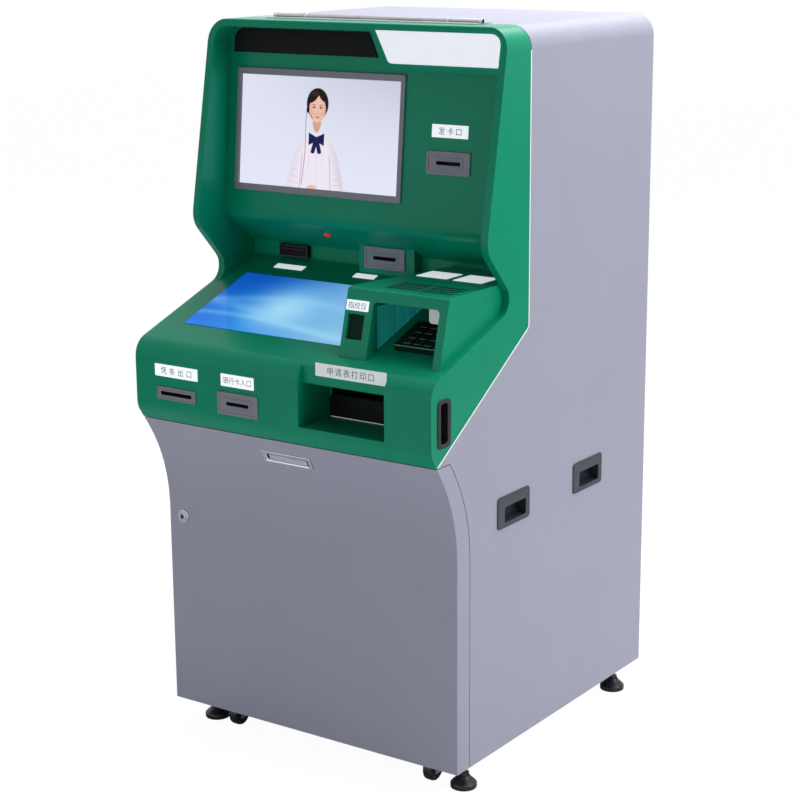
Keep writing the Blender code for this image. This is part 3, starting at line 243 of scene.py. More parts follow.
def dress(piece, finish, body, replaces=(), sharp=35, smooth_weights=True):
    """Shade an object, give it its finish and tie it to the frame."""
    bpy.context.scene.collection.objects.link(piece)
    mesh = piece.data
    mesh.shade_smooth()
    mesh.set_sharp_from_angle(angle=math.radians(sharp))
    mesh.materials.clear()
    mesh.materials.append(FINISHES[finish])
    if smooth_weights:
        weights = piece.modifiers.new("weights", "WEIGHTED_NORMAL")
        weights.keep_sharp = True
    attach(piece, body)
    if replaces:
        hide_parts(*replaces)
    return piece


def shell_copy(node, finish, body, sharp=32):
    """Welded copy of a solid's skin with flat faces made whole."""
    mesh = FRAME["nodes"][node].data.copy()
    mesh.name = node + "_skin"
    work = bmesh.new()
    work.from_mesh(mesh)
    bmesh.ops.remove_doubles(work, verts=work.verts, dist=WELD_DISTANCE)
    bmesh.ops.dissolve_limit(work, angle_limit=math.radians(FLAT_ANGLE), verts=work.verts, edges=work.edges)
    work.to_mesh(mesh)
    work.free()
    if mesh.has_custom_normals:
        mesh.attributes.remove(mesh.attributes["custom_normal"])
    dress(bpy.data.objects.new(node + "_skin", mesh), finish, body, (node,), sharp)


def text_part(words, height, spacing=1.0):
    """Outlines of a word as a thin flat mesh in a face's frame, centred on it."""
    curve = bpy.data.curves.new("words", "FONT")
    curve.body = words
    curve.size = height
    curve.space_character = spacing
    curve.extrude = INK_THICKNESS
    curve.resolution_u = 3
    holder = bpy.data.objects.new("words", curve)
    bpy.context.scene.collection.objects.link(holder)
    graph = bpy.context.evaluated_depsgraph_get()
    mesh = bpy.data.meshes.new_from_object(holder.evaluated_get(graph))
    points = np.empty(len(mesh.vertices) * 3)
    mesh.vertices.foreach_get("co", points)
    points = points.reshape(-1, 3)
    faces = [list(face.vertices) for face in mesh.polygons]
    bpy.data.objects.remove(holder)
    bpy.data.meshes.remove(mesh)
    middle = (points.min(axis=0) + points.max(axis=0)) / 2
    points = points - middle
    return np.column_stack([points[:, 0], -points[:, 2], points[:, 1]]), faces


# ---------------------------------------------------------------- finishes

FINISHES = {}


class Socket:
    """A node's output that takes part in sums, so shader maths reads as an expression."""

    def __init__(self, owner, output):
        self.owner = owner
        self.output = output

    def maths(self, operation, *values):
        """A Math node on this socket and others."""
        return self.owner.node("ShaderNodeMath", {"operation": operation}, dict(enumerate((self, *values))))

    def __add__(self, other):
        return self.maths("ADD", other)

    def __mul__(self, other):
        return self.maths("MULTIPLY", other)

    __radd__ = __add__
    __rmul__ = __mul__

    def above(self, limit):
        """One where the value is over a limit."""
        return self.maths("GREATER_THAN", limit)

    def or_more(self, other):
        """The larger of two values."""
        return self.maths("MAXIMUM", other)


class Nodes:
    """A node tree under construction."""

    def __init__(self, tree):
        self.tree = tree

    def feed(self, socket, value):
        """Link a socket's value, or set it."""
        if isinstance(value, Socket):
            self.tree.links.new(value.output, socket)
        else:
            socket.default_value = value

    def node(self, kind, settings=None, values=None, output=0):
        """Any node: its settings come first, then the values or links of its sockets."""
        made = self.tree.nodes.new(kind)
        for key, value in (settings or {}).items():
            setattr(made, key, value)
        for key, value in (values or {}).items():
            self.feed(made.inputs[key], value)
        return Socket(self, made.outputs[output]) if made.outputs else None


class Finish(Nodes):
    """A material under construction."""

    def __init__(self, name):
        material = bpy.data.materials.new(name)
        material.use_nodes = True
        super().__init__(material.node_tree)
        self.shader = self.tree.nodes["Principled BSDF"]
        FINISHES[name] = material

    def place(self, scale=(1.0, 1.0, 1.0)):
        """Object coordinates, stretched along the axes."""
        coordinates = self.node("ShaderNodeTexCoord", output="Object")
        if scale == (1.0, 1.0, 1.0):
            return coordinates
        return self.node("ShaderNodeMapping", values={"Vector": coordinates, "Scale": scale})

    def noise(self, scale, detail=3.0, stretch=(1.0, 1.0, 1.0)):
        """Noise by size: a scale of 1000 has features about a millimetre apart."""
        return self.node("ShaderNodeTexNoise",
                         values={"Vector": self.place(stretch), "Scale": scale, "Detail": detail})

    def blend(self, factor, low, high):
        """Mix of two colours."""
        return self.node("ShaderNodeMix", {"data_type": "RGBA"}, {0: factor, 6: low, 7: high}, 2)

    def set(self, **values):
        """Values or links of the shader's sockets, named with underscores for spaces."""
        for key, value in values.items():
            self.feed(self.shader.inputs[key.replace("_", " ")], value)
        return self

    def glow(self, colour, strength):
        """Light that the surface gives off by itself."""
        return self.set(Emission_Color=(*colour, 1.0), Emission_Strength=strength)

    def bump(self, height, distance, strength=1.0, edge=0.0):
        """Surface relief, over edges rounded by a radius."""
        values = {"Height": height, "Distance": distance, "Strength": strength}
        if edge:
            values["Normal"] = self.node("ShaderNodeBevel", {"samples": 4}, {"Radius": edge})
        return self.set(Normal=self.node("ShaderNodeBump", values=values))


def shade(colour, factor):
    """A colour made lighter or darker, as four numbers."""
    return tuple(min(1.0, channel * factor) for channel in colour[:3]) + (1.0,)


def lacquer(name, colour, roughness=0.30, coat=0.06, edge=0.0015, gloss=0.12):
    """Sprayed gloss lacquer: faint orange peel, a slow drift of tone and a clear coat."""
    finish = Finish(name)
    drift = finish.noise(9.0, 2.0)
    finish.set(Base_Color=finish.blend(drift, shade(colour, 0.93), shade(colour, 1.07)),
               Roughness=finish.noise(160.0, 2.0) * 0.10 + (roughness - 0.05),
               Coat_Weight=coat, Coat_Roughness=0.12, Specular_IOR_Level=gloss)
    return finish.bump(finish.noise(420.0, 1.5), 0.00018, 0.35, edge)


def powder_coat(name, colour, edge=0.0015):
    """Powder coat: a fine grain in relief and tone over a slow drift."""
    finish = Finish(name)
    grain = finish.noise(1500.0, 2.0)
    drift = finish.noise(6.0, 2.0)
    tone = finish.blend(drift, shade(colour, 0.965), shade(colour, 1.035))
    finish.set(Base_Color=finish.blend(grain.above(0.62) * 0.10, tone, shade(colour, 0.80)),
               Roughness=grain * 0.16 + 0.40, Specular_IOR_Level=0.30)
    return finish.bump(grain, 0.00012, 0.30, edge)


def grained_plastic(name, colour, roughness=0.48, grain_scale=1300.0, edge=0.0006):
    """Moulded plastic with a spark-eroded grain."""
    finish = Finish(name)
    grain = finish.noise(grain_scale, 3.0)
    finish.set(Base_Color=finish.blend(grain, shade(colour, 0.88), shade(colour, 1.12)),
               Roughness=grain * 0.20 + (roughness - 0.10))
    return finish.bump(grain, 0.00010, 0.35, edge)


def metal(name, colour, roughness, stretch=(1.0, 1.0, 1.0), edge=0.0005):
    """Plain or brushed metal: its grain is noise drawn out along one axis."""
    finish = Finish(name)
    grain = finish.noise(900.0, 4.0, stretch)
    finish.set(Base_Color=finish.blend(grain, shade(colour, 0.90), shade(colour, 1.08)), Metallic=1.0,
               Roughness=grain * 0.18 + (roughness - 0.09))
    return finish.bump(grain, 0.00005, 0.25, edge)


def glass_face(name, colour, roughness=0.06):
    """Dark polished glass with a faint smear in its gloss."""
    finish = Finish(name)
    smear = finish.noise(22.0, 3.0)
    finish.set(Base_Color=finish.blend(smear, shade(colour, 0.8), shade(colour, 1.2)),
               Roughness=smear * 0.06 + roughness, Coat_Weight=0.5, Coat_Roughness=0.03)
    return finish


def lit_picture(name, strength, roughness=0.10):
    """Screen whose light is painted point by point on the mesh."""
    finish = Finish(name)
    picture = finish.node("ShaderNodeVertexColor", {"layer_name": "picture"})
    dots = finish.noise(2600.0, 0.0)
    return finish.set(Base_Color=(0.01, 0.01, 0.012, 1.0),
                      Emission_Color=finish.blend(dots * 0.06, picture, (0.0, 0.0, 0.0, 1.0)),
                      Emission_Strength=strength, Roughness=roughness, Specular_IOR_Level=0.05)


def printed_film(name, colour):
    """Matt printed film: paper-like mottle."""
    finish = Finish(name)
    mottle = finish.noise(700.0, 3.0)
    finish.set(Base_Color=finish.blend(mottle, shade(colour, 0.96), shade(colour, 1.02)),
               Roughness=mottle * 0.10 + 0.38)
    return finish.bump(mottle, 0.00004, 0.20)


def rubber(name, colour):
    """Moulded rubber with a dusty bloom."""
    finish = Finish(name)
    bloom = finish.noise(90.0, 4.0)
    finish.set(Base_Color=finish.blend(bloom, shade(colour, 0.3), shade(colour, 0.9)),
               Roughness=bloom * 0.20 + 0.24)
    return finish.bump(finish.noise(1100.0, 3.0), 0.00012, 0.40, 0.0006)


def dull_black(name, colour):
    """Matt black that takes almost no gloss: slot linings, the camera's filter, and plates of painted shade
    under the louvres, at the back of the form pocket and along the door pull's top.
    """
    finish = Finish(name)
    dust = finish.noise(300.0, 3.0)
    return finish.set(Base_Color=finish.blend(dust, shade(colour, 0.5), shade(colour, 1.1)),
                      Roughness=dust * 0.20 + 0.50, Specular_IOR_Level=0.10)


def lit_wall(name, colour):
    """Wall lit from a lamp beside it: upright streaks of light."""
    finish = Finish(name)
    streak = finish.noise(150.0, 2.0, (0.2, 1.0, 0.05))
    light = finish.blend(streak, shade(colour, 0.30), shade(colour, 2.2))
    return finish.set(Base_Color=light, Roughness=0.30, Emission_Color=light, Emission_Strength=0.30)


def make_finishes():
    """Every finish, from the colours in the panel."""
    look = bpy.context.scene.kiosk_colours
    lacquer("green_lacquer", look.green)
    powder_coat("grey_coat", look.grey)
    grained_plastic("black_plastic", look.black)
    grained_plastic("pull_plastic", look.pull, 0.42)
    grained_plastic("module_grey", look.module, 0.40, 900.0)
    # Painted glow: the header plate's white plastic gives off light to brighten it, though it is no lamp.
    grained_plastic("white_plastic", look.white, 0.35, 800.0).glow((0.90, 0.95, 1.0), 0.50)
    grained_plastic("wheel_plastic", shade(look.black, 1.4), 0.35)
    glass_face("dark_glass", look.black)
    lacquer("red_lens", look.lens, 0.15, 0.6, 0.0).glow((1.0, 0.03, 0.04), 0.30)
    metal("steel", (0.62, 0.63, 0.66), 0.24, (1.0, 6.0, 6.0))
    metal("chrome", (0.56, 0.60, 0.66), 0.24)
    metal("zinc_steel", (0.46, 0.47, 0.49), 0.38)
    metal("key_metal", (0.085, 0.080, 0.098), 0.30)
    metal("hinge_steel", (0.15, 0.15, 0.17), 0.40)
    rubber("black_rubber", look.black)
    # Painted glow: the label film gives off light to brighten the labels, though they are no lamps.
    printed_film("label_film", look.label).glow((0.90, 0.93, 1.0), 0.60)
    # Painted shade: a darker copy of the label film for the form label under the deck's front edge, with a
    # weaker painted glow.
    printed_film("label_in_painted_shade", shade(look.label, 0.80)).glow((0.86, 0.97, 0.94), 0.26)
    printed_film("label_ink", (0.045, 0.16, 0.17))
    # Painted highlight: a white glowing film that stands in for light caught along the seam and the pocket
    # floor's edge.
    printed_film("painted_edge_highlight", look.edge).glow((0.93, 0.96, 1.0), 0.35)
    # Light teal of a painted highlight along the pin pad's front edge.
    printed_film("pad_highlight", (0.14, 0.50, 0.48))
    lit_picture("upper_picture", 1.0)
    lit_picture("touch_picture", 1.0)
    lit_wall("tunnel_teal", look.teal)
    grained_plastic("lamp_cover", (0.42, 0.44, 0.44), 0.40, 900.0).glow((0.90, 0.97, 1.0), 0.16)
    dull_black("dull_black", look.black)
    # Near-black tinted dark green: painted shade and reflection of the green housing round the fingerprint
    # reader and the pin pad.
    dull_black("reader_window", (0.002, 0.024, 0.014))


# ---------------------------------------------------------------- settings

def colour_value(name, what, default):
    """A colour setting."""
    return FloatVectorProperty(name=name, description=what, subtype="COLOR", size=3, min=0, max=1,
                               default=default)


def length(name, what, default):
    """A length setting in metres."""
    return FloatProperty(name=name, description=what, default=default, unit="LENGTH", subtype="DISTANCE")


class KioskColours(bpy.types.PropertyGroup):
    """Colours of the finishes."""
    green: colour_value("Green", "Lacquer of hood and console", (0.002, 0.300, 0.166))
    grey: colour_value("Grey", "Powder coat of cabinet and door", (0.400, 0.410, 0.510))
    black: colour_value("Black", "Black plastic, rubber and glass", (0.012, 0.012, 0.014))
    pull: colour_value("Pull", "Recessed pulls in the sides", (0.036, 0.044, 0.058))
    module: colour_value("Module", "Bezels of the modules", (0.240, 0.240, 0.285))
    white: colour_value("White", "Header plate", (0.830, 0.840, 0.880))
    label: colour_value("Label", "Label film", (0.860, 0.870, 0.900))
    # Colour of the painted highlights along the seam and the pocket floor's edge.
    edge: colour_value("Edge", "Bright cut edge along the seam", (0.850, 0.860, 0.880))
    lens: colour_value("Lens", "Indicator lens", (0.750, 0.030, 0.020))
    teal: colour_value("Teal", "Inside wall of the keypad tunnel", (0.010, 0.200, 0.190))


class KioskSizes(bpy.types.PropertyGroup):
    """Sizes of what is added to the frame."""
    label_thickness: length("Label thickness", "Thickness of a label plate", 0.0010)
    key_dish: length("Key dish", "Depth of the dish in a key", 0.0005)
    pull_lip: length("Pull lip", "Height of a pull's flange", 0.0020)


class KioskStage(bpy.types.PropertyGroup):
    """Lamps and camera."""
    key_power: FloatProperty(name="Key power", description="Lamp on the right", default=60.0, unit="POWER")
    fill_power: FloatProperty(name="Fill power", description="Lamp on the left", default=13.0, unit="POWER")
    top_power: FloatProperty(name="Top power", description="Lamp overhead", default=116.0, unit="POWER")
    ambient: FloatProperty(name="Ambient", description="Light from all round", default=0.16)
    lens: FloatProperty(name="Lens", description="Focal length in mm on a 36 mm sensor", default=88.11)


# ---------------------------------------------------------------- shells

SHELLS = {"hood_moulding": ("green_lacquer", "hood"), "console_moulding": ("green_lacquer", "hood"),
          "keypad_housing": ("green_lacquer", "hood"), "front_door": ("grey_coat", "door"),
          "cabinet_shell": ("grey_coat", "cabinet")}


def make_shells():
    """Skins of hood, console, keypad housing, door and cabinet, with whole flat faces and smooth bends."""
    for node, (finish, body) in SHELLS.items():
        shell_copy(node, finish, body)


# ---------------------------------------------------------------- screens

UPPER_PICTURE = (0.4096, 0.2302)
TOUCH_PICTURE = (0.4090, 0.2260)
TOUCH_GLASS = (0.410, 0.227)


def soft(distance, width=0.0007):
    """One inside a shape and zero outside, from its signed distance, with a soft edge."""
    ramp = np.clip(0.5 - distance / (2 * width), 0, 1)
    return ramp * ramp * (3 - 2 * ramp)


class Picture:
    """Colours on a grid of points, built up by laying shapes over them."""

    def __init__(self, x, z, colours):
        self.x, self.z, self.colours = x, z, colours

    def tint(self, mask, colour):
        """Lay a colour over the picture as far as a mask says."""
        self.colours = self.colours + (np.array(colour) - self.colours) * mask[..., None]

    def lay(self, shape, colour, strength=1.0, blur=0.0007):
        """Lay a colour over the inside of a shape, which is given by its signed distance."""
        self.tint(strength * soft(shape, blur), colour)

    def oval(self, x, z, rx, rz):
        """Signed distance, near the outline, of an ellipse."""
        reach = np.sqrt(((self.x - x) / rx) ** 2 + ((self.z - z) / rz) ** 2)
        return (reach - 1) * min(rx, rz)

    def bar(self, start, end, radius):
        """Signed distance of a line with round ends."""
        (x, z), (run, rise) = start, (end[0] - start[0], end[1] - start[1])
        along = ((self.x - x) * run + (self.z - z) * rise) / (run ** 2 + rise ** 2)
        along = np.clip(along, 0, 1)
        return np.hypot(self.x - x - along * run, self.z - z - along * rise) - radius


AGENT_X = -0.004
HEAD_Z = 0.054
HEAD_RADII = (0.0235, 0.0315)
EYE_Z = HEAD_Z - 0.0015
NAVY = (0.10, 0.11, 0.30)


def paint_blouse(picture):
    """Trapezoid of shoulders and arms, shaded at both sides, with creases as fine soft bars."""
    x, z, crease = picture.x, picture.z, (0.66, 0.61, 0.72)
    reach = np.abs(x - AGENT_X)
    half = 0.040 + 0.037 * np.clip(-z / 0.115, 0, 1) ** 0.8
    shoulder_top = 0.004 - 0.40 * reach - 0.012 * (reach / 0.045) ** 4
    figure = soft(np.maximum(reach - half, z - shoulder_top), 0.0012)
    picture.tint(figure, (0.945, 0.915, 0.958))
    for side in (-1, 1):
        dark_side = np.clip((side * (x - AGENT_X) - half + 0.026) / 0.026, 0, 1) * figure
        picture.tint((0.50 if side > 0 else 0.28) * dark_side, (0.76, 0.70, 0.81))
        sleeve = picture.bar((AGENT_X + side * 0.035, -0.046), (AGENT_X + side * 0.041, -0.116), 0.0009)
        picture.lay(sleeve, crease, 0.65, 0.0018)
        for fold in range(3):
            start = -0.080 - 0.013 * fold
            tuck = picture.bar((AGENT_X + side * 0.047, start),
                               (AGENT_X + side * (0.060 + 0.003 * fold), start + 0.004), 0.0004)
            picture.lay(tuck, crease, 0.45, 0.0020)
        lapel = picture.bar((AGENT_X + side * 0.014, -0.030), (AGENT_X + side * 0.020, -0.080), 0.0004)
        picture.lay(lapel, crease, 0.25, 0.0018)
    picture.tint(0.6 * soft(np.abs(x - AGENT_X - 0.002) - 0.0003, 0.0008) * (z < -0.034), crease)


def paint_head(picture):
    """Hair, neck, collar and a plain oval face under two locks."""
    x, z, (wide, tall) = picture.x, picture.z, HEAD_RADII
    picture.lay(picture.oval(AGENT_X, HEAD_Z + 0.007, wide + 0.0045, tall + 0.0005), (0.13, 0.09, 0.09))
    picture.lay(np.maximum(np.abs(x - AGENT_X) - 0.0105, np.abs(z - 0.018) - 0.016), (0.84, 0.64, 0.55))
    for side in (-1, 1):
        collar = picture.bar((AGENT_X + side * 0.0135, 0.014), (AGENT_X + side * 0.0035, -0.006), 0.0034)
        picture.lay(collar, (0.90, 0.89, 0.94))
    face = picture.oval(AGENT_X, HEAD_Z - 0.004, wide - 0.002, tall - 0.004)
    face = np.maximum(face, -picture.oval(AGENT_X - 0.030, HEAD_Z + 0.034, 0.034, 0.028))
    face = np.maximum(face, -picture.oval(AGENT_X + 0.026, HEAD_Z + 0.032, 0.024, 0.022))
    picture.lay(face, (0.94, 0.76, 0.68))
    side_light = np.clip((np.abs(x - AGENT_X) - 0.009) / 0.014, 0, 1) * soft(face)
    picture.tint(0.30 * side_light, (0.74, 0.48, 0.38))
    picture.lay(picture.oval(AGENT_X - 0.008, HEAD_Z + 0.028, 0.010, 0.004), (0.34, 0.25, 0.22), 0.5, 0.004)


def paint_features(picture):
    """Eyes, brows, cheeks, nose and mouth as small ovals and bars."""
    z = picture.z
    for side in (-1, 1):
        eye_x = AGENT_X + side * 0.0088
        picture.lay(picture.oval(eye_x, EYE_Z, 0.0036, 0.0017), (0.95, 0.93, 0.92))
        picture.lay(picture.oval(eye_x, EYE_Z, 0.0017, 0.0018), (0.06, 0.04, 0.035))
        rim = np.abs(picture.oval(eye_x, EYE_Z - 0.0003, 0.0040, 0.0024)) - 0.0004
        picture.lay(np.maximum(rim, EYE_Z - z), (0.12, 0.07, 0.06))
        brow = picture.bar((AGENT_X + side * 0.0052, EYE_Z + 0.0058),
                           (AGENT_X + side * 0.0128, EYE_Z + 0.0062), 0.0006)
        picture.lay(brow, (0.16, 0.10, 0.08), 0.8)
        cheek = picture.oval(AGENT_X + side * 0.0110, HEAD_Z - 0.0125, 0.0050, 0.0036)
        picture.lay(cheek, (0.93, 0.45, 0.40), 0.22, 0.003)
    nose_z, mouth_z = HEAD_Z - 0.0135, HEAD_Z - 0.0200
    bridge = picture.bar((AGENT_X + 0.0016, EYE_Z - 0.002), (AGENT_X + 0.0022, nose_z), 0.0005)
    picture.lay(bridge, (0.70, 0.45, 0.36), 0.35, 0.001)
    picture.lay(picture.oval(AGENT_X, nose_z - 0.0008, 0.0034, 0.0008), (0.66, 0.38, 0.31), 0.45, 0.0008)
    under_lip = z - mouth_z - 0.0010
    lips = np.maximum(picture.oval(AGENT_X, mouth_z + 0.0010, 0.0066, 0.0030), under_lip)
    picture.lay(lips, (0.76, 0.24, 0.24))
    smile = np.maximum(picture.oval(AGENT_X, mouth_z + 0.0012, 0.0050, 0.0014), under_lip)
    picture.lay(smile, (0.96, 0.90, 0.88), 0.7)


def paint_headset(picture):
    """Ear cup, a cord that bends down from it and the boom to the mouth."""
    x, z, wide = picture.x, picture.z, HEAD_RADII[0]
    picture.lay(picture.oval(AGENT_X - wide - 0.0010, HEAD_Z - 0.006, 0.0036, 0.0062), (0.03, 0.03, 0.04))
    bend = 0.0085 * np.clip((0.045 - z) / 0.16, 0, 1) ** 0.7
    cord = x - (AGENT_X - wide - 0.0015 - bend - 0.002 * np.sin(z * 40))
    cord = np.where((z < 0.046) & (z > -0.108), np.abs(cord) - 0.0005, 1.0)
    picture.lay(cord, (0.16, 0.16, 0.22), 0.85)
    boom = picture.bar((AGENT_X - wide, HEAD_Z - 0.011), (AGENT_X - 0.0120, HEAD_Z - 0.0235), 0.0006)
    picture.lay(boom, (0.05, 0.05, 0.06))


def paint_bow(picture):
    """Navy bow: two wings that widen outwards, two tails with cut ends, and a knot."""
    x, z = picture.x, picture.z
    for side in (-1, 1):
        wing = np.maximum(np.abs(z + 0.012) - 0.0045 - 0.42 * np.abs(x - AGENT_X),
                          np.abs(x - AGENT_X - side * 0.0100) - 0.0100)
        picture.lay(wing, NAVY)
        tail = picture.bar((AGENT_X + side * 0.002, -0.016), (AGENT_X + side * 0.0085, -0.038), 0.0050)
        cut_end = -(z + 0.0400) - 0.35 * (0.006 - np.abs(x - AGENT_X - side * 0.0085))
        picture.lay(np.maximum(tail, cut_end), NAVY)
        fold = picture.bar((AGENT_X + side * 0.004, -0.014), (AGENT_X + side * 0.014, -0.009), 0.0005)
        picture.lay(fold, (0.10, 0.11, 0.25), 0.5)
    picture.lay(picture.oval(AGENT_X, -0.0125, 0.0036, 0.0045), (0.14, 0.15, 0.36))


def agent_picture(x, z):
    """A service agent of no likeness, in front of a pale wall that darkens towards one corner."""
    fade = np.clip((x + 0.21) / 0.42, 0, 1)
    drop = np.clip((z + 0.12) / 0.24, 0, 1)
    wall = np.array([0.885, 0.897, 0.965]) + np.zeros(x.shape + (3,))
    wall = wall - (0.11 * fade * drop ** 2)[..., None] + (0.015 * (1 - drop))[..., None]
    picture = Picture(x, z, wall)
    for paint in (paint_blouse, paint_head, paint_features, paint_headset, paint_bow):
        paint(picture)
    picture.lay(picture.oval(AGENT_X - 0.008, -0.113, 0.012, 0.0055), (0.92, 0.75, 0.68), blur=0.0012)
    return picture.colours


WAVE_BANDS = ((0.30, 0.16, 0.08, 0.26), (0.50, -0.12, 0.06, 0.20), (0.16, 0.10, 0.04, 0.30))


def wave_picture(x, z):
    """Blue that pales from left to right, a soft light and three bands that cross it as sine waves."""
    u, v = x / TOUCH_GLASS[0] + 0.5, z / TOUCH_GLASS[1] + 0.5
    low_left, high_left, right = (np.array(colour) for colour in
                                  ((0.10, 0.48, 0.90), (0.06, 0.31, 0.70), (0.51, 0.74, 0.90)))
    left = low_left + (high_left - low_left) * v[..., None]
    share = np.clip((u - 0.15) / 0.80, 0, 1)
    share = share * share * (3 - 2 * share)
    picture = Picture(x, z, left + (right - left) * share[..., None])
    for middle, swing, wide, strong in WAVE_BANDS:
        band = np.exp(-((v - middle - swing * np.sin(3.1 * u + 6 * middle)) / wide) ** 2)
        picture.tint(strong * band, (0.70, 0.92, 1.0))
    light = np.exp(-((u - 0.47) / 0.22) ** 2 - ((v - 0.45) / 0.36) ** 2)
    picture.tint(0.90 * light, (0.67, 0.89, 0.98))
    edge = np.clip(np.minimum(np.minimum(u, 1 - u) * 410, np.minimum(v, 1 - v) * 227) / 1.5, 0, 1)
    return picture.colours * (0.65 + 0.35 * edge)[..., None]


def make_picture(name, size, step, painter, finish, frame):
    """A flat grid carrying a painted colour at every point; one more face closes its back."""
    (width, height), thickness = size, 0.0004
    columns, rows = int(width / step) + 1, int(height / step) + 1
    x, z = np.meshgrid(np.linspace(-width / 2, width / 2, columns),
                       np.linspace(-height / 2, height / 2, rows))
    points = np.stack([x, np.full_like(x, -0.0006), z], axis=-1).reshape(-1, 3)
    colours = (np.clip(painter(x, z), 0, 1) ** DISPLAY_GAMMA).reshape(-1, 3)
    border = np.concatenate([np.arange(columns), np.arange(1, rows) * columns + columns - 1,
                             np.arange(columns - 2, -1, -1) + (rows - 1) * columns,
                             np.arange(rows - 2, 0, -1) * columns])
    faces = grid_faces(rows, columns).tolist()
    back = points[border] + np.array([0.0, thickness, 0.0])
    start, count = len(points), len(border)
    faces += [[int(border[i]), start + i, start + (i + 1) % count, int(border[(i + 1) % count])]
              for i in range(count)]
    faces.append(list(range(start, start + count)))
    part = np.concatenate([points, back]), faces
    piece = make_piece(name, part, finish, "hood", frame, smooth_weights=False)
    layer = piece.data.color_attributes.new("picture", "FLOAT_COLOR", "POINT")
    values = np.ones((len(part[0]), 4))
    values[:start, :3] = colours
    values[start:, :3] = colours[border]
    layer.data.foreach_set("color", values.ravel())


def make_screens():
    """Both lit screens and the upper one's bezel."""
    frame = on_wall(-0.1138, 1.2985)
    make_picture("upper_screen_picture", UPPER_PICTURE, 0.00105, agent_picture, "upper_picture", frame)
    outer, inner = (0.4328, 0.2582), (0.4094, 0.2300)
    steps = [(outer, 0.0, 0.0035, -GAP), (outer, 0.0, 0.0035, -0.0034), (outer, -0.001, 0.003, -0.0044),
             (outer, -0.003, 0.0022, -0.0048), (inner, 0.005, 0.0016, -0.0048),
             (inner, 0.0015, 0.001, -0.0040), (inner, 0.0, 0.0006, -0.0016), (inner, 0.0, 0.0006, -GAP)]
    bezel = loft([(size[0] + grow, size[1] + grow, radius, depth) for size, grow, radius, depth in steps],
                 wrap=True)
    make_piece("upper_screen_bezel", bezel, "module_grey", "hood", frame, ("monitor_bezel",))
    make_picture("touch_screen_picture", TOUCH_PICTURE, 0.0015, wave_picture, "touch_picture",
                 on_deck(-0.1075, 0.1037))


# ---------------------------------------------------------------- labels

def make_label(name, words, size, frame, text_height=0.0155, spacing=1.0, film="label_film"):
    """White plate with a rounded edge and, on some, a plain word in dark ink."""
    thickness = bpy.context.scene.kiosk_sizes.label_thickness
    make_piece("label_" + name, plate(*size, 0.0012, thickness, 0.0003, -0.0001), film, "hood",
               frame, smooth_weights=False)
    if words:
        ink = shifted(text_part(words, text_height, spacing), 0.0, -thickness - INK_THICKNESS, 0.0)
        make_piece("words_" + name, ink, "label_ink", "hood", frame, smooth_weights=False)


def make_labels():
    """Label plates beside the outlets and readers, blank where nothing plain is on them."""
    make_label("card_outlet", "发卡口", (0.086, 0.026), on_wall(0.2125, 1.321), 0.0165, 1.45)
    make_label("receipt", "凭条出口", (0.1145, 0.0255), leaning(-0.2593, CONSOLE_Y, 0.8305), 0.0165, 1.75)
    make_label("bank_card", "银行卡入口", (0.085, 0.0255), leaning(-0.098, CONSOLE_Y, 0.8315), 0.0150)
    make_label("fingerprint", "指纹仪", (0.053, 0.0205), on_housing(0.1455, 1.0005), 0.0150)
    # The form label takes the label film in painted shade.
    make_label("form_outlet", "申请表打印口", (0.170, 0.0265), leaning(0.1732, LIP_Y, 0.8790), 0.0170, 1.30,
               "label_in_painted_shade")
    make_label("deck_left", "", (0.077, 0.0185), on_deck(-0.2245, 0.2500))
    make_label("deck_middle", "", (0.0550, 0.0175), on_deck(-0.0238, 0.2488))
    make_label("housing_left", "", (0.073, 0.060), on_top(0.2000, 0.1945, HOUSING_TOP_Z))
    make_label("housing_right", "", (0.067, 0.066), on_top(0.2870, 0.1940, HOUSING_TOP_Z))


# ---------------------------------------------------------------- modules

MODULE_RISE = 0.0034
PANEL_SINK = 0.0010
BEHIND_BEZEL = 0.007
CARD_BEZEL, CARD_SLOT, CARD_PAD = (0.1038, 0.0468), (0.0550, 0.0026), (0.0700, 0.0240)
RECEIPT_BEZEL, RECEIPT_SLOT, RECEIPT_PAD = (0.1024, 0.0266), (0.0800, 0.0034), (0.0915, 0.0155)


def module_part(bezel, body, slot, pad):
    """One skin: housing, raised border, sunk panel, the pad round the slot and the slot itself."""
    (width, height), (body_x, body_y, body_z) = bezel, body
    tall = height > 0.03
    housing = (body_x[1] - body_x[0], body_z[1] - body_z[0], 0.003)
    centre = ((body_x[0] + body_x[1]) / 2, (body_z[0] + body_z[1]) / 2)
    inset, border = (0.0125, 0.0110) if tall else (0.0085, 0.0060)
    throat = (width - inset, height - inset, 0.002)
    rings = [(*housing, body_y[1], *centre), (*housing, body_y[0], *centre),
             (*throat, body_y[0]), (*throat, -GAP), (width, height, 0.0025, -GAP)]
    rings += round_over(width, height, 0.0025, MODULE_RISE, 0.0012)
    rings += [(width - border, height - border, 0.0016, -MODULE_RISE),
              (width - border - 0.0008, height - border - 0.0008, 0.0014, -MODULE_RISE + PANEL_SINK),
              (pad[0] + 0.0008, pad[1] + 0.0008, 0.0035, -MODULE_RISE + PANEL_SINK),
              (*pad, 0.0030, -MODULE_RISE + 0.0001),
              (slot[0] + 0.0090, slot[1] + 0.0080, 0.0030, -MODULE_RISE + 0.0001),
              (slot[0] + 0.0020, slot[1] + 0.0044, 0.0020, -MODULE_RISE + 0.0012),
              (slot[0] + 0.0012, slot[1] + 0.0008, 0.0009, -MODULE_RISE + 0.0040),
              (slot[0] + 0.0012, slot[1] + 0.0008, 0.0009, 0.026)]
    return loft(rings)


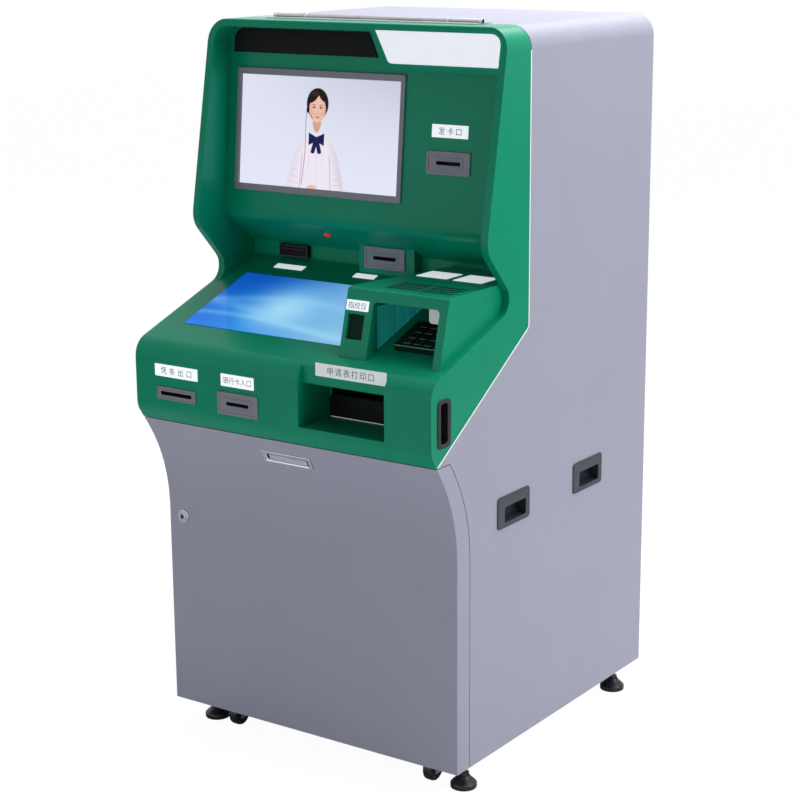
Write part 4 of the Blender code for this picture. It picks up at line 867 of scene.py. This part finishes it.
def slot_lining(slot):
    """Black lining of a slot: a flared mouth that narrows to the slot's own height."""
    wide, high = slot
    return loft([(wide + 0.0018, high + 0.0042, 0.0020, -MODULE_RISE + 0.0009),
                 (wide + 0.0006, high + 0.0032, 0.0018, -MODULE_RISE + 0.0010),
                 (wide, high, 0.0009, -MODULE_RISE + 0.0044), (wide, high, 0.0009, 0.0250),
                 (wide + 0.0008, high + 0.0005, 0.0009, 0.0250),
                 (wide + 0.0008, high + 0.0006, 0.0009, -MODULE_RISE + 0.0044)], wrap=True)


def card_guides():
    """Fine outlines right of the thumb's notch, above and below the slot, and the notch's own arcs."""
    face = -MODULE_RISE + 0.0001
    outer, inner = (0.0270, 0.0062, 0.0012), (0.0256, 0.0048, 0.0008)
    outline = loft([(*outer, 0.0006), (*outer, -0.0003), (*inner, -0.0003), (*inner, 0.0006)], wrap=True)
    parts = [shifted(outline, 0.0150, face, z) for z in (0.0078, -0.0078)]
    angle = np.linspace(math.radians(28), math.radians(152), 17)
    section = ((0.0112, 0.0006), (0.0112, -0.0004), (0.0102, -0.0004), (0.0102, 0.0006))
    for sign in (-1, 1):
        layers = np.array([np.column_stack([radius * np.cos(angle) * 0.95, np.full(len(angle), depth),
                                            sign * radius * np.sin(angle)]) for radius, depth in section])
        parts.append(shifted(close(layers.transpose(1, 0, 2)), -0.0095, face, 0.0))
    return joined(*parts)


def make_module(node, sizes, frame, body, guides=False):
    """Bezel with its housing, fine guide lines where asked, and the lining of its slot."""
    bezel, slot, pad = sizes
    make_piece(node + "_case", module_part(bezel, body, slot, pad), "module_grey", "hood",
               frame, (node,))
    if guides:
        make_piece(node + "_guides", card_guides(), "module_grey", "hood", frame)
    make_piece(node + "_lining", slot_lining(slot), "dull_black", "hood", frame)


def make_scanner():
    """Rim and bar of the document scanner's window, on the front face of its box."""
    low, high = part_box("document_scanner")
    wide, tall = high[0] - low[0], high[2] - low[2]
    face = leaning((low[0] + high[0]) / 2, low[1] - DOOR_Y, (low[2] + high[2]) / 2)
    rim = loft([(wide - inset, tall - inset, radius, depth) for inset, radius, depth in
                ((0.0010, 0.0010, 0.0), (0.0014, 0.0010, -0.0007), (0.0060, 0.0008, -0.0007),
                 (0.0064, 0.0008, 0.0))], wrap=True)
    make_piece("document_scanner_rim", rim, "black_plastic", "hood", face)
    bar = shifted(plate(wide - 0.0120, 0.0016, 0.0006, 0.0008, 0.0003), 0.0, 0.0, tall * 0.16)
    make_piece("document_scanner_bar", bar, "black_plastic", "hood", face)


def make_modules():
    """Card outlet, both card readers, receipt printer, scanner and indicator."""
    card = (CARD_BEZEL, CARD_SLOT, CARD_PAD)
    places = {"card_dispenser": (on_wall(0.2126, 1.258),
                                 ((-0.055, 0.055), (BEHIND_BEZEL, 0.170), (-0.120, 0.100))),
              "id_card_reader": (leaning(0.018, 0.263, 1.0405),
                                 ((-0.044, 0.044), (0.034, 0.122), (-0.016, 0.030))),
              "bank_card_reader": (leaning(-0.098, CONSOLE_Y, 0.7835),
                                   ((-0.046, 0.046), (BEHIND_BEZEL, 0.160), (-0.026, 0.034)))}
    for node, (frame, body) in places.items():
        make_module(node, card, frame, body, guides=True)
    make_module("receipt_printer", (RECEIPT_BEZEL, RECEIPT_SLOT, RECEIPT_PAD),
                leaning(-0.2598, CONSOLE_Y, 0.7828),
                ((-0.058, 0.058), (BEHIND_BEZEL, 0.120), (-0.028, 0.060)))
    make_scanner()
    lens = turned([(0.0050, 0.012), (0.0050, -0.0002), (0.0076, -0.0003), (0.0078, -0.0014),
                   (0.0074, -0.0020), (0.0064, -0.0030), (0.0046, -0.0037), (0.0024, -0.0042),
                   (0.0004, -0.0043)], 32)
    bulge, shelf = (wall_y(1.113), 1.113), (0.290, 1.0465)
    lean = -math.atan2(shelf[0] - bulge[0], bulge[1] - shelf[1])
    place = [a + (b - a) * 0.45 for a, b in zip(bulge, shelf)]
    make_piece("indicator_dome", lens, "red_lens", "hood", leaning(-0.113, *place, lean),
               ("indicator_lens",))


# ---------------------------------------------------------------- keypad

PAD_PLACE = (0.268, 0.054)
PAD_SIZE = (0.1000, 0.0980)
PAD_TOP = 0.0123
KEY_PITCH = (0.0240, 0.0210)
KEY_SIZE = (0.0190, 0.0150)
KEY_RISE = 0.0025
KEY_COLUMNS = 3


def key_part(dish):
    """Key cap: straight skirt, rounded shoulder and a top that sinks as a shallow bowl."""
    width, height = KEY_SIZE
    top = PAD_TOP + KEY_RISE
    rings = [(width, height, 0.002, -(top - 0.008))] + round_over(width, height, 0.002, top, 0.0009)
    for share in (0.80, 0.55, 0.30, 0.08):
        rings.append((width * share, height * share, 0.003 * share, -top + dish * (1 - share ** 2)))
    return loft(rings)


def make_keypad():
    """Twelve keys with dished tops, a raised rim, and a teal strip of painted highlight along the pad's front
    edge.
    """
    dish = bpy.context.scene.kiosk_sizes.key_dish
    frame = on_deck(*PAD_PLACE)
    for index in range(12):
        row, column = divmod(index, KEY_COLUMNS)
        part = shifted(key_part(dish), (column - 1) * KEY_PITCH[0], 0.0, (1.5 - row) * KEY_PITCH[1])
        number = f"{index + 1:02d}"
        make_piece("key_cap_" + number, part, "key_metal", "key_" + number, frame,
                   ("pin_key_" + number,))
    rim = loft([(PAD_SIZE[0] - inset, PAD_SIZE[1] - inset, radius, depth) for inset, radius, depth in
                ((0.0, 0.004, -0.0122), (0.0, 0.004, -0.0128), (0.0010, 0.0036, -0.0134),
                 (0.0040, 0.003, -0.0134), (0.0050, 0.0026, -0.0124))], wrap=True)
    make_piece("pin_pad_rim", rim, "black_plastic", "hood", frame)
    # A light teal strip along the pad's front edge is a painted highlight.
    lip = shifted(plate(0.0940, 0.0014, 0.0005, 0.0010, 0.0003), 0.0, -0.0130, -0.0482)
    make_piece("pin_pad_highlight_strip", lip, "pad_highlight", "hood", frame)


def make_tunnel():
    """What shows inside the keypad's tunnel and under the louvres: lamp, lit wall, and black plates of
    painted shade under the louvre slots.
    """
    lamp = loft([(0.0340, 0.0320, 0.006, 0.040), (0.0352, 0.0328, 0.007, 0.036)]
                + round_over(0.0352, 0.0328, 0.007, 0.0, 0.0020))
    make_piece("tunnel_lamp", lamp, "lamp_cover", "hood", leaning(0.3140, 0.012, 0.9940))
    front, rear, roof = 0.002, 0.230, 1.0000
    wall = [(front, deck_z(front) + 0.0010), (rear, deck_z(rear) + 0.0010), (rear, roof), (front, roof)]
    layers = np.array([[(x, y, z) for y, z in wall] for x in (0.1822, 0.1828)])
    make_piece("tunnel_wall", close(layers), "tunnel_teal", "hood")
    # Black plates just under the housing's top darken the louvre slots as painted shade.
    screen = plate(0.0745, 0.0092, 0.0020, 0.0010, 0.0002)
    screens = [shifted(screen, 0.2591 + side * 0.0400, 0.0, 0.035 + row * 0.018)
               for row in range(4) for side in (-1, 1)]
    make_piece("louvre_shade_plates", joined(*screens), "dull_black", "hood",
               on_top(0.0, 0.0, HOUSING_TOP_Z - 0.0007))


# ---------------------------------------------------------------- pulls and lock

PULL_YS = {"front": 0.207, "rear": 0.5095}
PULL_Z = 0.571
CUP_WALL = 0.0018
DOOR_BEND_RADIUS = 0.345


def cup_part(flange, mouth, shell, depth, lip, radius, offset=(0.0, 0.0)):
    """Recessed pull as one skin: round the flange and its groove, in through the mouth, round the cup."""
    (width, height), face = flange, -GAP - lip
    inside = (shell[0] - 2 * CUP_WALL, shell[1] - 2 * CUP_WALL)
    rings = [(shell[0] - 0.004, shell[1] - 0.004, radius, depth), (*shell, radius, depth - 0.002),
             (*shell, radius, -GAP), (width, height, radius + 0.004, -GAP)]
    rings += round_over(width, height, radius + 0.004, GAP + lip, 0.0009)
    rings += [(width - inset, height - inset, radius + 0.002, face + sink)
              for inset, sink in ((0.0052, 0.0), (0.0058, 0.0006), (0.0068, 0.0006), (0.0074, 0.0))]
    rings += [(mouth[0] + grow, mouth[1] + grow, radius, face + sink, *offset)
              for grow, sink in ((0.0028, 0.0), (0.0010, 0.0004), (0.0, 0.0012), (0.0, 0.0020))]
    rings += [(*inside, radius, 0.0012), (*inside, radius, depth - 0.0060),
              (inside[0] - 0.004, inside[1] - 0.004, radius, depth - 0.0026),
              (inside[0] - 0.012, inside[1] - 0.010, radius, depth - 0.0022)]
    return loft(rings)


def make_pulls():
    """Black recessed pulls, console grips, the chrome door pull and the cam lock's face."""
    lip = bpy.context.scene.kiosk_sizes.pull_lip
    grip = cup_part((0.045, 0.096), (0.024, 0.080), (0.0300, 0.0860), 0.0235, lip, 0.007)
    for side_name, side in (("left", -1), ("right", 1)):
        pull = cup_part((0.124, 0.067), (0.082, 0.0335), (0.1064, 0.0522), 0.030, lip, 0.004,
                        (side * 0.0065, -0.0072))
        for row, y in PULL_YS.items():
            node = f"side_pull_{row}_{side_name}"
            make_piece(node + "_cup", pull, "pull_plastic", "cabinet",
                       on_side(side, y, PULL_Z), (node,))
        make_piece(f"grip_{side_name}_cup", grip, "black_plastic", "hood",
                   on_side(side, -0.0475, 0.8025), (f"grip_{side_name}",))
    make_door_pull()
    make_lock()


def make_lock():
    """Turned face of the cam lock, with a round keyway and its slit."""
    face = turned([(0.0040, 0.001), (0.0148, -0.0003), (0.0150, -0.0016), (0.0142, -0.0028),
                   (0.0112, -0.0034), (0.0100, -0.0034), (0.0096, -0.0026), (0.0088, -0.0024),
                   (0.0084, -0.0044), (0.0080, -0.0048), (0.0003, -0.0048)], 40)
    keyway = turned([(0.0048, 0.0), (0.0048, -0.0003), (0.0003, -0.0004)], 24)
    slit = plate(0.0026, 0.0120, 0.0008, 0.0005, 0.0001)
    frame = leaning(-0.333, 0.0, 0.4855)
    make_piece("lock_face", face, "chrome", "lock", frame)
    make_piece("lock_keyhole", joined(shifted(keyway, 0.0, -0.0047, 0.0), shifted(slit, 0.0, -0.0048, 0.0)),
               "black_plastic", "lock", frame)


def make_door_pull():
    """Chrome flush pull: frame with a black strip of painted shadow along its top, and a finely lined flap
    that fills its pocket.
    """
    angle = math.radians(28.19)
    frame = (leaning(-0.012, -DOOR_BEND_RADIUS * (1 - math.cos(angle)), 0.669, -angle)
             @ Matrix.Translation((0.0, 0.0, 0.0030)))
    pocket = loft([(0.1080, 0.0185, 0.003, 0.0158), (0.1080, 0.0185, 0.003, -0.0006),
                   (0.124, 0.0315, 0.003, -0.0006)]
                  + round_over(0.124, 0.0315, 0.003, 0.0034, 0.0012)
                  + [(0.1120, 0.0210, 0.003, -0.0034), (0.1090, 0.0185, 0.0025, -0.0022),
                     (0.1050, 0.0160, 0.002, 0.0), (0.1050, 0.0160, 0.002, 0.0135)])
    make_piece("door_pull_frame", pocket, "chrome", "door", frame, ("door_pull",))
    line = plate(0.0960, 0.0016, 0.0006, 0.0014, 0.0005)
    lines = [shifted(line, 0.003, -0.0006, z) for z in np.arange(-3, 4) * 0.0021]
    make_piece("door_pull_flap", joined(*lines), "chrome", "door", frame)
    # A black strip along the frame's top edge is a painted shadow.
    joint = shifted(plate(0.1230, 0.0016, 0.0006, 0.0008, 0.0002), 0.0, 0.0, 0.0163)
    make_piece("door_pull_shadow_strip", joint, "dull_black", "door", frame)


# ---------------------------------------------------------------- hinge, feet and castors

HINGE_AXIS = (0, HOOD_BACK_Y, 1.535)
HINGE_LENGTH = 0.520
HINGE_RIBS = 116
FOOT_YS = {"front": 0.078, "rear": 0.708}
FOOT_XS = {"left": -0.320, "right": 0.335}
CASTOR_YS = {"front": 0.058, "rear": 0.700}
CASTOR_XS = {"left": -0.250, "right": 0.265}
CASTOR_TRAIL = 0.012
AXLE_Z = 0.0275


def along_x(part, x=0.0):
    """A turned surface laid along X, at a distance."""
    points, faces = part
    return np.column_stack([points[:, 1] + x, points[:, 0], points[:, 2]]), faces


def make_hinge():
    """Fine ribs of the piano hinge: a turned bar whose radius steps in and out at an even pitch."""
    pitch, frame = HINGE_LENGTH / HINGE_RIBS, Matrix.Translation(HINGE_AXIS)
    profile = []
    for rib in range(HINGE_RIBS):
        start = -HINGE_LENGTH / 2 + rib * pitch
        profile += [(0.0038, start + 0.0004), (0.0043, start + 0.0009), (0.0043, start + pitch - 0.0009),
                    (0.0038, start + pitch - 0.0004)]
    make_piece("hinge_ribs", along_x(turned(profile, 14)), "hinge_steel", "cabinet", frame,
               sharp=50)
    post = turned([(0.0062, -0.0022), (0.0066, -0.0016), (0.0066, 0.0016), (0.0062, 0.0022)], 24)
    for x in (-0.254, -0.174, 0.178, 0.256):
        name = f"hinge_post_{'l' if x < 0 else 'r'}{abs(int(x * 1000))}"
        make_piece(name, along_x(post, x), "steel", "cabinet", frame, sharp=50)


def foot_part():
    """Levelling foot: a bell pad under a hexagonal collar and a threaded stem."""
    bell = turned([(0.0240, 0.0), (0.0268, -0.0006), (0.0275, -0.0020), (0.0275, -0.0095),
                   (0.0264, -0.0112), (0.0228, -0.0150), (0.0172, -0.0200), (0.0140, -0.0240),
                   (0.0124, -0.0262), (0.0090, -0.0268)], 44)
    collar = turned([(0.0080, -0.0262), (0.0118, -0.0264), (0.0126, -0.0276), (0.0126, -0.0316),
                     (0.0118, -0.0328), (0.0070, -0.0329)], 6)
    thread = []
    for turn in range(18):
        depth = -0.0326 - turn * 0.0016
        thread += [(0.0052, depth), (0.0060, depth - 0.0006)]
    return joined(bell, collar, turned(thread + [(0.0054, -0.0616)], 20))


def wheel_part():
    """Castor wheel: rounded tread, sunk web and a raised hub, turned about its axle."""
    half = [(0.0040, -0.0125), (0.0085, -0.0118), (0.0088, -0.0080), (0.0105, -0.0066),
            (0.0175, -0.0066), (0.0192, -0.0082), (0.0205, -0.0096), (0.0236, -0.0099),
            (0.0257, -0.0084), (0.0265, -0.0050)]
    return turned(half + [(radius, -depth) for radius, depth in half[::-1]], 44)


def make_ground():
    """Feet and castor wheels in place of their plain solids."""
    down = Matrix.Rotation(-math.pi / 2, 4, "X")
    across = Matrix.Rotation(math.pi / 2, 4, "Z")
    for depth in FOOT_YS:
        for side in FOOT_XS:
            place = f"{depth}_{side}"
            make_piece(f"foot_{place}_bell", foot_part(), "black_rubber", "foot_" + place,
                       Matrix.Translation((FOOT_XS[side], FOOT_YS[depth], 0.0)) @ down, (f"foot_{place}",))
            axle = (CASTOR_XS[side], CASTOR_YS[depth] + CASTOR_TRAIL, AXLE_Z)
            make_piece(f"castor_{place}_wheel", wheel_part(), "wheel_plastic", "wheel_" + place,
                       Matrix.Translation(axle) @ across, (f"castor_wheel_{place}",))


# ---------------------------------------------------------------- trims

SEAM_WIDTH = 0.0026
SEAM_THICKNESS = 0.0043
SEAM_FOOT = (CONSOLE_Y + (0.7453 - 0.7185) * math.tan(math.radians(34.2)), 0.7185)
SEAM_KNEE_Z = 0.936
POCKET_X = 0.15825


def ribbon(points, width, thickness):
    """A strip along a path on the side: its width lies across the path in the side's plane."""
    path = np.array(points, float)
    step = np.gradient(path, axis=0)
    step /= np.linalg.norm(step, axis=1)[:, None]
    across = np.column_stack([-step[:, 1], step[:, 0]]) * width / 2
    low, high = path - across, path + across
    layers = np.stack([np.column_stack([np.full(len(path), x), side]) for x, side in
                       ((0.0, low), (thickness, low), (thickness, high), (0.0, high))], axis=1)
    return close(layers)


def make_seam():
    """Painted highlight along the seam of the side sheets: down behind the hood, then forward to the
    console's foot.
    """
    slope = math.atan2(SEAM_KNEE_Z - SEAM_FOOT[1], HOOD_BACK_Y - SEAM_FOOT[0])
    drop = 0.0010 / math.cos(slope)
    seam = HOOD_BACK_Y + 0.0010
    path = [(seam, TOP_Z - 0.047), (seam, 1.2), (seam, 0.9375),
            (0.2560, SEAM_KNEE_Z - drop - 0.0055 * math.tan(slope)),
            (SEAM_FOOT[0] + 0.004, SEAM_FOOT[1] - drop + 0.004 * math.tan(slope))]
    points, faces = ribbon(path, SEAM_WIDTH, SEAM_THICKNESS)
    for side_name, side in (("left", -1), ("right", 1)):
        strip = np.column_stack([side * (SIDE_X - 0.0042 + points[:, 0]), points[:, 1:]])
        make_piece(f"seam_highlight_{side_name}", (strip, faces), "painted_edge_highlight", "cabinet",
                   smooth_weights=False)


def make_screws():
    """Screws in three columns on the rear panel."""
    low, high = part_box("rear_panel")
    rear = high[1] - DOOR_Y
    screw = turned([(0.0045, 0.0), (0.0045, -0.0008), (0.0040, -0.0016), (0.0025, -0.0022),
                    (0.0022, -0.0016), (0.0003, -0.0014)], 24)
    screws = [placed(screw, on_rear(x, z, rear)) for x in (low[0] + 0.008, 0.0, high[0] - 0.008)
              for z in np.linspace(low[2] + 0.010, high[2] - 0.010, 6)]
    make_piece("rear_screws", joined(*screws), "zinc_steel", "cabinet")


def make_grommet():
    """Grommet of the mains cable's hole."""
    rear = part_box("rear_panel")[1][1] - DOOR_Y
    grommet = turned([(0.0115, 0.004), (0.0155, -0.0002), (0.0160, -0.0030), (0.0145, -0.0048),
                      (0.0120, -0.0052), (0.0100, -0.0040), (0.0100, 0.0060)], 32)
    make_piece("cable_grommet", grommet, "black_rubber", "cabinet",
               on_rear(0.230, 0.160, rear))


def make_pocket():
    """Black plates of painted shade at the back of the form pocket, and a painted highlight line where its
    floor ends.
    """
    # Black plates over the pocket's back are painted shade.
    back = joined(shifted(plate(0.2070, 0.0435, 0.0003, 0.0004, 0.0001), POCKET_X, 0.0, 0.78215),
                  shifted(plate(0.2070, 0.0245, 0.0003, 0.0004, 0.0001), POCKET_X, 0.0, 0.83250))
    make_piece("pocket_shade_plates", back, "dull_black", "hood",
               Matrix.Translation((0.0, 0.0149, 0.0)))
    # A glowing strip along the pocket floor's rear edge is a painted highlight.
    floor_highlight = shifted(plate(0.2000, 0.0008, 0.0003, 0.0006, 0.0001), 0.1580, 0.0, 0.7608)
    make_piece("pocket_floor_highlight", floor_highlight, "painted_edge_highlight", "hood",
               Matrix.Translation((0.0, 0.0140, 0.0)))


def make_trims():
    """Painted highlight along the seam, rear screws, cable grommet, and the form pocket's painted shade and
    highlight.
    """
    make_seam()
    make_screws()
    make_pocket()
    make_grommet()


PLAIN_FINISHES = {
    "rear_panel": "grey_coat", "control_computer": "black_plastic", "form_printer": "black_plastic",
    "printer_tray": "module_grey", "upper_monitor": "dark_glass", "touch_monitor": "dark_glass",
    "camera_strip": "dull_black", "header_plate": "white_plastic", "fingerprint_reader": "reader_window",
    "document_scanner": "dull_black", "pin_pad": "reader_window", "strut_cylinder": "black_plastic",
    "strut_rod": "steel"}


def finish_plain_nodes():
    """Give the frame's own nodes their finishes: zinc-plated steel where the table names no other."""
    for name, node in FRAME["nodes"].items():
        node.data.materials.clear()
        node.data.materials.append(FINISHES[PLAIN_FINISHES.get(name, "zinc_steel")])


# ---------------------------------------------------------------- stage

CAMERA_PLACE = (2.350, -3.041 + DOOR_Y, 1.747)
CAMERA_PAN, CAMERA_PITCH, CAMERA_ROLL = 34.80, -14.04, -0.39
FLOOR_REACH = 14.0


def area_lamp(name, power, size, place, target):
    """A soft square lamp that faces a point."""
    data = bpy.data.lights.new(name, "AREA")
    data.energy = power
    data.size = size
    lamp = bpy.data.objects.new(name, data)
    bpy.context.scene.collection.objects.link(lamp)
    lamp.location = place
    away = Vector(place) - Vector(target)
    lamp.rotation_euler = away.to_track_quat("Z", "Y").to_euler()


def white_for(nodes, *rays):
    """One where a ray is of one of the kinds."""
    first, *others = [nodes.node("ShaderNodeLightPath", output=ray) for ray in rays]
    for other in others:
        first = first.or_more(other)
    return first


def make_camera(lens):
    """Camera at a standing person's eye height, turned and tipped down to the machine."""
    data = bpy.data.cameras.new("camera")
    data.lens = lens
    data.sensor_width = 36.0
    camera = bpy.data.objects.new("camera", data)
    bpy.context.scene.collection.objects.link(camera)
    turn = (Matrix.Rotation(math.radians(CAMERA_PAN), 4, "Z")
            @ Matrix.Rotation(math.radians(90 + CAMERA_PITCH), 4, "X")
            @ Matrix.Rotation(math.radians(CAMERA_ROLL), 4, "Z"))
    camera.matrix_world = Matrix.Translation(CAMERA_PLACE) @ turn
    bpy.context.scene.camera = camera


def make_surroundings(ambient):
    """White where it is looked at, off a mirror or through glass too, and dim where it gives light."""
    world = bpy.data.worlds.new("studio")
    bpy.context.scene.world = world
    world.use_nodes = True
    nodes = Nodes(world.node_tree)
    nodes.tree.nodes.clear()
    dim = nodes.node("ShaderNodeBackground", values={"Color": (0.90, 0.93, 1.0, 1.0), "Strength": ambient})
    bright = nodes.node("ShaderNodeBackground", values={"Color": (1.0, 1.0, 1.0, 1.0), "Strength": 1.0})
    looked_at = white_for(nodes, "Is Camera Ray", "Is Glossy Ray", "Is Transmission Ray")
    mix = nodes.node("ShaderNodeMixShader", values={0: looked_at, 1: dim, 2: bright})
    nodes.node("ShaderNodeOutputWorld", values={"Surface": mix})


def make_floor():
    """Pale floor, nearly white where the camera sees it: a flat grid under the feet."""
    finish = Finish("pale_floor")
    finish.set(Base_Color=(0.82, 0.82, 0.83, 1.0), Roughness=0.7)
    light = finish.node("ShaderNodeEmission", values={"Strength": 1.12})
    mix = finish.node("ShaderNodeMixShader", values={0: white_for(finish, "Is Camera Ray") * 0.86,
                                                     1: Socket(finish, finish.shader.outputs[0]), 2: light})
    finish.feed(finish.tree.nodes["Material Output"].inputs["Surface"], mix)
    x, y = np.meshgrid(np.linspace(-FLOOR_REACH, FLOOR_REACH, 9), np.linspace(-FLOOR_REACH, FLOOR_REACH, 9))
    points = np.stack([x, y, np.zeros_like(x) - 0.0002], axis=-1).reshape(-1, 3)
    mesh = bpy.data.meshes.new("floor")
    mesh.from_pydata(points.tolist(), [], grid_faces(9, 9).tolist())
    mesh.materials.append(FINISHES["pale_floor"])
    floor = bpy.data.objects.new("floor", mesh)
    bpy.context.scene.collection.objects.link(floor)


def make_stage():
    """Camera, lamps, pale floor and white surroundings."""
    look = bpy.context.scene.kiosk_stage
    make_camera(look.lens)
    area_lamp("key", look.key_power, 2.0, (3.6, 0.3, 2.2), (0, 0.2, 0.8))
    area_lamp("fill", look.fill_power, 2.4, (-0.4, -2.4, 0.45), (0, 0, 0.45))
    area_lamp("top", look.top_power, 2.8, (0.3, 1.1, 3.6), (0, 0.3, 1.2))
    make_surroundings(look.ambient)
    make_floor()
    bpy.context.scene.view_settings.view_transform = "Standard"


# ---------------------------------------------------------------- operators

class KIOSK_OT_finishes(bpy.types.Operator):
    """Make every finish."""
    bl_idname = "kiosk.finishes"
    bl_label = "Finishes"

    def execute(self, context):
        make_finishes()
        return {"FINISHED"}


class KIOSK_OT_stage(bpy.types.Operator):
    """Add camera, lamps, floor and surroundings."""
    bl_idname = "kiosk.stage"
    bl_label = "Stage"

    def execute(self, context):
        make_stage()
        return {"FINISHED"}


class KIOSK_OT_plain_nodes(bpy.types.Operator):
    """Give the frame's own nodes their finishes."""
    bl_idname = "kiosk.plain_nodes"
    bl_label = "Plain nodes"

    def execute(self, context):
        finish_plain_nodes()
        return {"FINISHED"}


class KIOSK_OT_shells(bpy.types.Operator):
    """Add the skins of hood, console, housing, door and cabinet."""
    bl_idname = "kiosk.shells"
    bl_label = "Shells"

    def execute(self, context):
        make_shells()
        return {"FINISHED"}


class KIOSK_OT_screens(bpy.types.Operator):
    """Add both lit screens and the upper one's bezel."""
    bl_idname = "kiosk.screens"
    bl_label = "Screens"

    def execute(self, context):
        make_screens()
        return {"FINISHED"}


class KIOSK_OT_labels(bpy.types.Operator):
    """Add the label plates and their words."""
    bl_idname = "kiosk.labels"
    bl_label = "Labels"

    def execute(self, context):
        make_labels()
        return {"FINISHED"}


class KIOSK_OT_modules(bpy.types.Operator):
    """Add card, receipt, scanner and indicator modules."""
    bl_idname = "kiosk.modules"
    bl_label = "Modules"

    def execute(self, context):
        make_modules()
        return {"FINISHED"}


class KIOSK_OT_keypad(bpy.types.Operator):
    """Add the key caps and the pad's rim."""
    bl_idname = "kiosk.keypad"
    bl_label = "Keypad"

    def execute(self, context):
        make_keypad()
        return {"FINISHED"}


class KIOSK_OT_tunnel(bpy.types.Operator):
    """Add lamp, lit wall and the black plates of painted shade under the housing's louvres."""
    bl_idname = "kiosk.tunnel"
    bl_label = "Tunnel"

    def execute(self, context):
        make_tunnel()
        return {"FINISHED"}


class KIOSK_OT_pulls(bpy.types.Operator):
    """Add pulls, grips, door pull and lock."""
    bl_idname = "kiosk.pulls"
    bl_label = "Pulls"

    def execute(self, context):
        make_pulls()
        return {"FINISHED"}


class KIOSK_OT_hinge(bpy.types.Operator):
    """Add the ribs and posts of the piano hinge."""
    bl_idname = "kiosk.hinge"
    bl_label = "Hinge"

    def execute(self, context):
        make_hinge()
        return {"FINISHED"}


class KIOSK_OT_ground(bpy.types.Operator):
    """Add feet and castor wheels."""
    bl_idname = "kiosk.ground"
    bl_label = "Feet and castors"

    def execute(self, context):
        make_ground()
        return {"FINISHED"}


class KIOSK_OT_trims(bpy.types.Operator):
    """Add the painted seam highlights, the pocket's painted shade and highlight, screws and the cable
    grommet.
    """
    bl_idname = "kiosk.trims"
    bl_label = "Trims"

    def execute(self, context):
        make_trims()
        return {"FINISHED"}


STEPS = [KIOSK_OT_finishes, KIOSK_OT_stage, KIOSK_OT_plain_nodes, KIOSK_OT_shells,
         KIOSK_OT_screens, KIOSK_OT_labels, KIOSK_OT_modules, KIOSK_OT_keypad,
         KIOSK_OT_tunnel, KIOSK_OT_pulls, KIOSK_OT_hinge, KIOSK_OT_ground,
         KIOSK_OT_trims]


class KIOSK_PT_panel(bpy.types.Panel):
    """Lists the settings and the steps."""
    bl_label = "Kiosk"
    bl_idname = "KIOSK_PT_panel"
    bl_space_type = "VIEW_3D"
    bl_region_type = "UI"
    bl_category = "Kiosk"

    def draw(self, context):
        """Settings first, then one button for each step."""
        for group in (context.scene.kiosk_colours, context.scene.kiosk_sizes, context.scene.kiosk_stage):
            for name in group.__annotations__:
                self.layout.prop(group, name)
        for step in STEPS:
            self.layout.operator(step.bl_idname)


CLASSES = [KioskColours, KioskSizes, KioskStage, *STEPS, KIOSK_PT_panel]


def register():
    """Register the classes and hang the settings on the scene."""
    for item in CLASSES:
        bpy.utils.register_class(item)
    bpy.types.Scene.kiosk_colours = PointerProperty(type=KioskColours)
    bpy.types.Scene.kiosk_sizes = PointerProperty(type=KioskSizes)
    bpy.types.Scene.kiosk_stage = PointerProperty(type=KioskStage)


def unregister():
    """Take the settings and classes away again."""
    del bpy.types.Scene.kiosk_colours, bpy.types.Scene.kiosk_sizes, bpy.types.Scene.kiosk_stage
    for item in reversed(CLASSES):
        bpy.utils.unregister_class(item)


def main():
    """Build everything in order."""
    register()
    for step in STEPS:
        getattr(bpy.ops.kiosk, step.bl_idname.split(".")[1])()


if __name__ == "__main__":
    main()
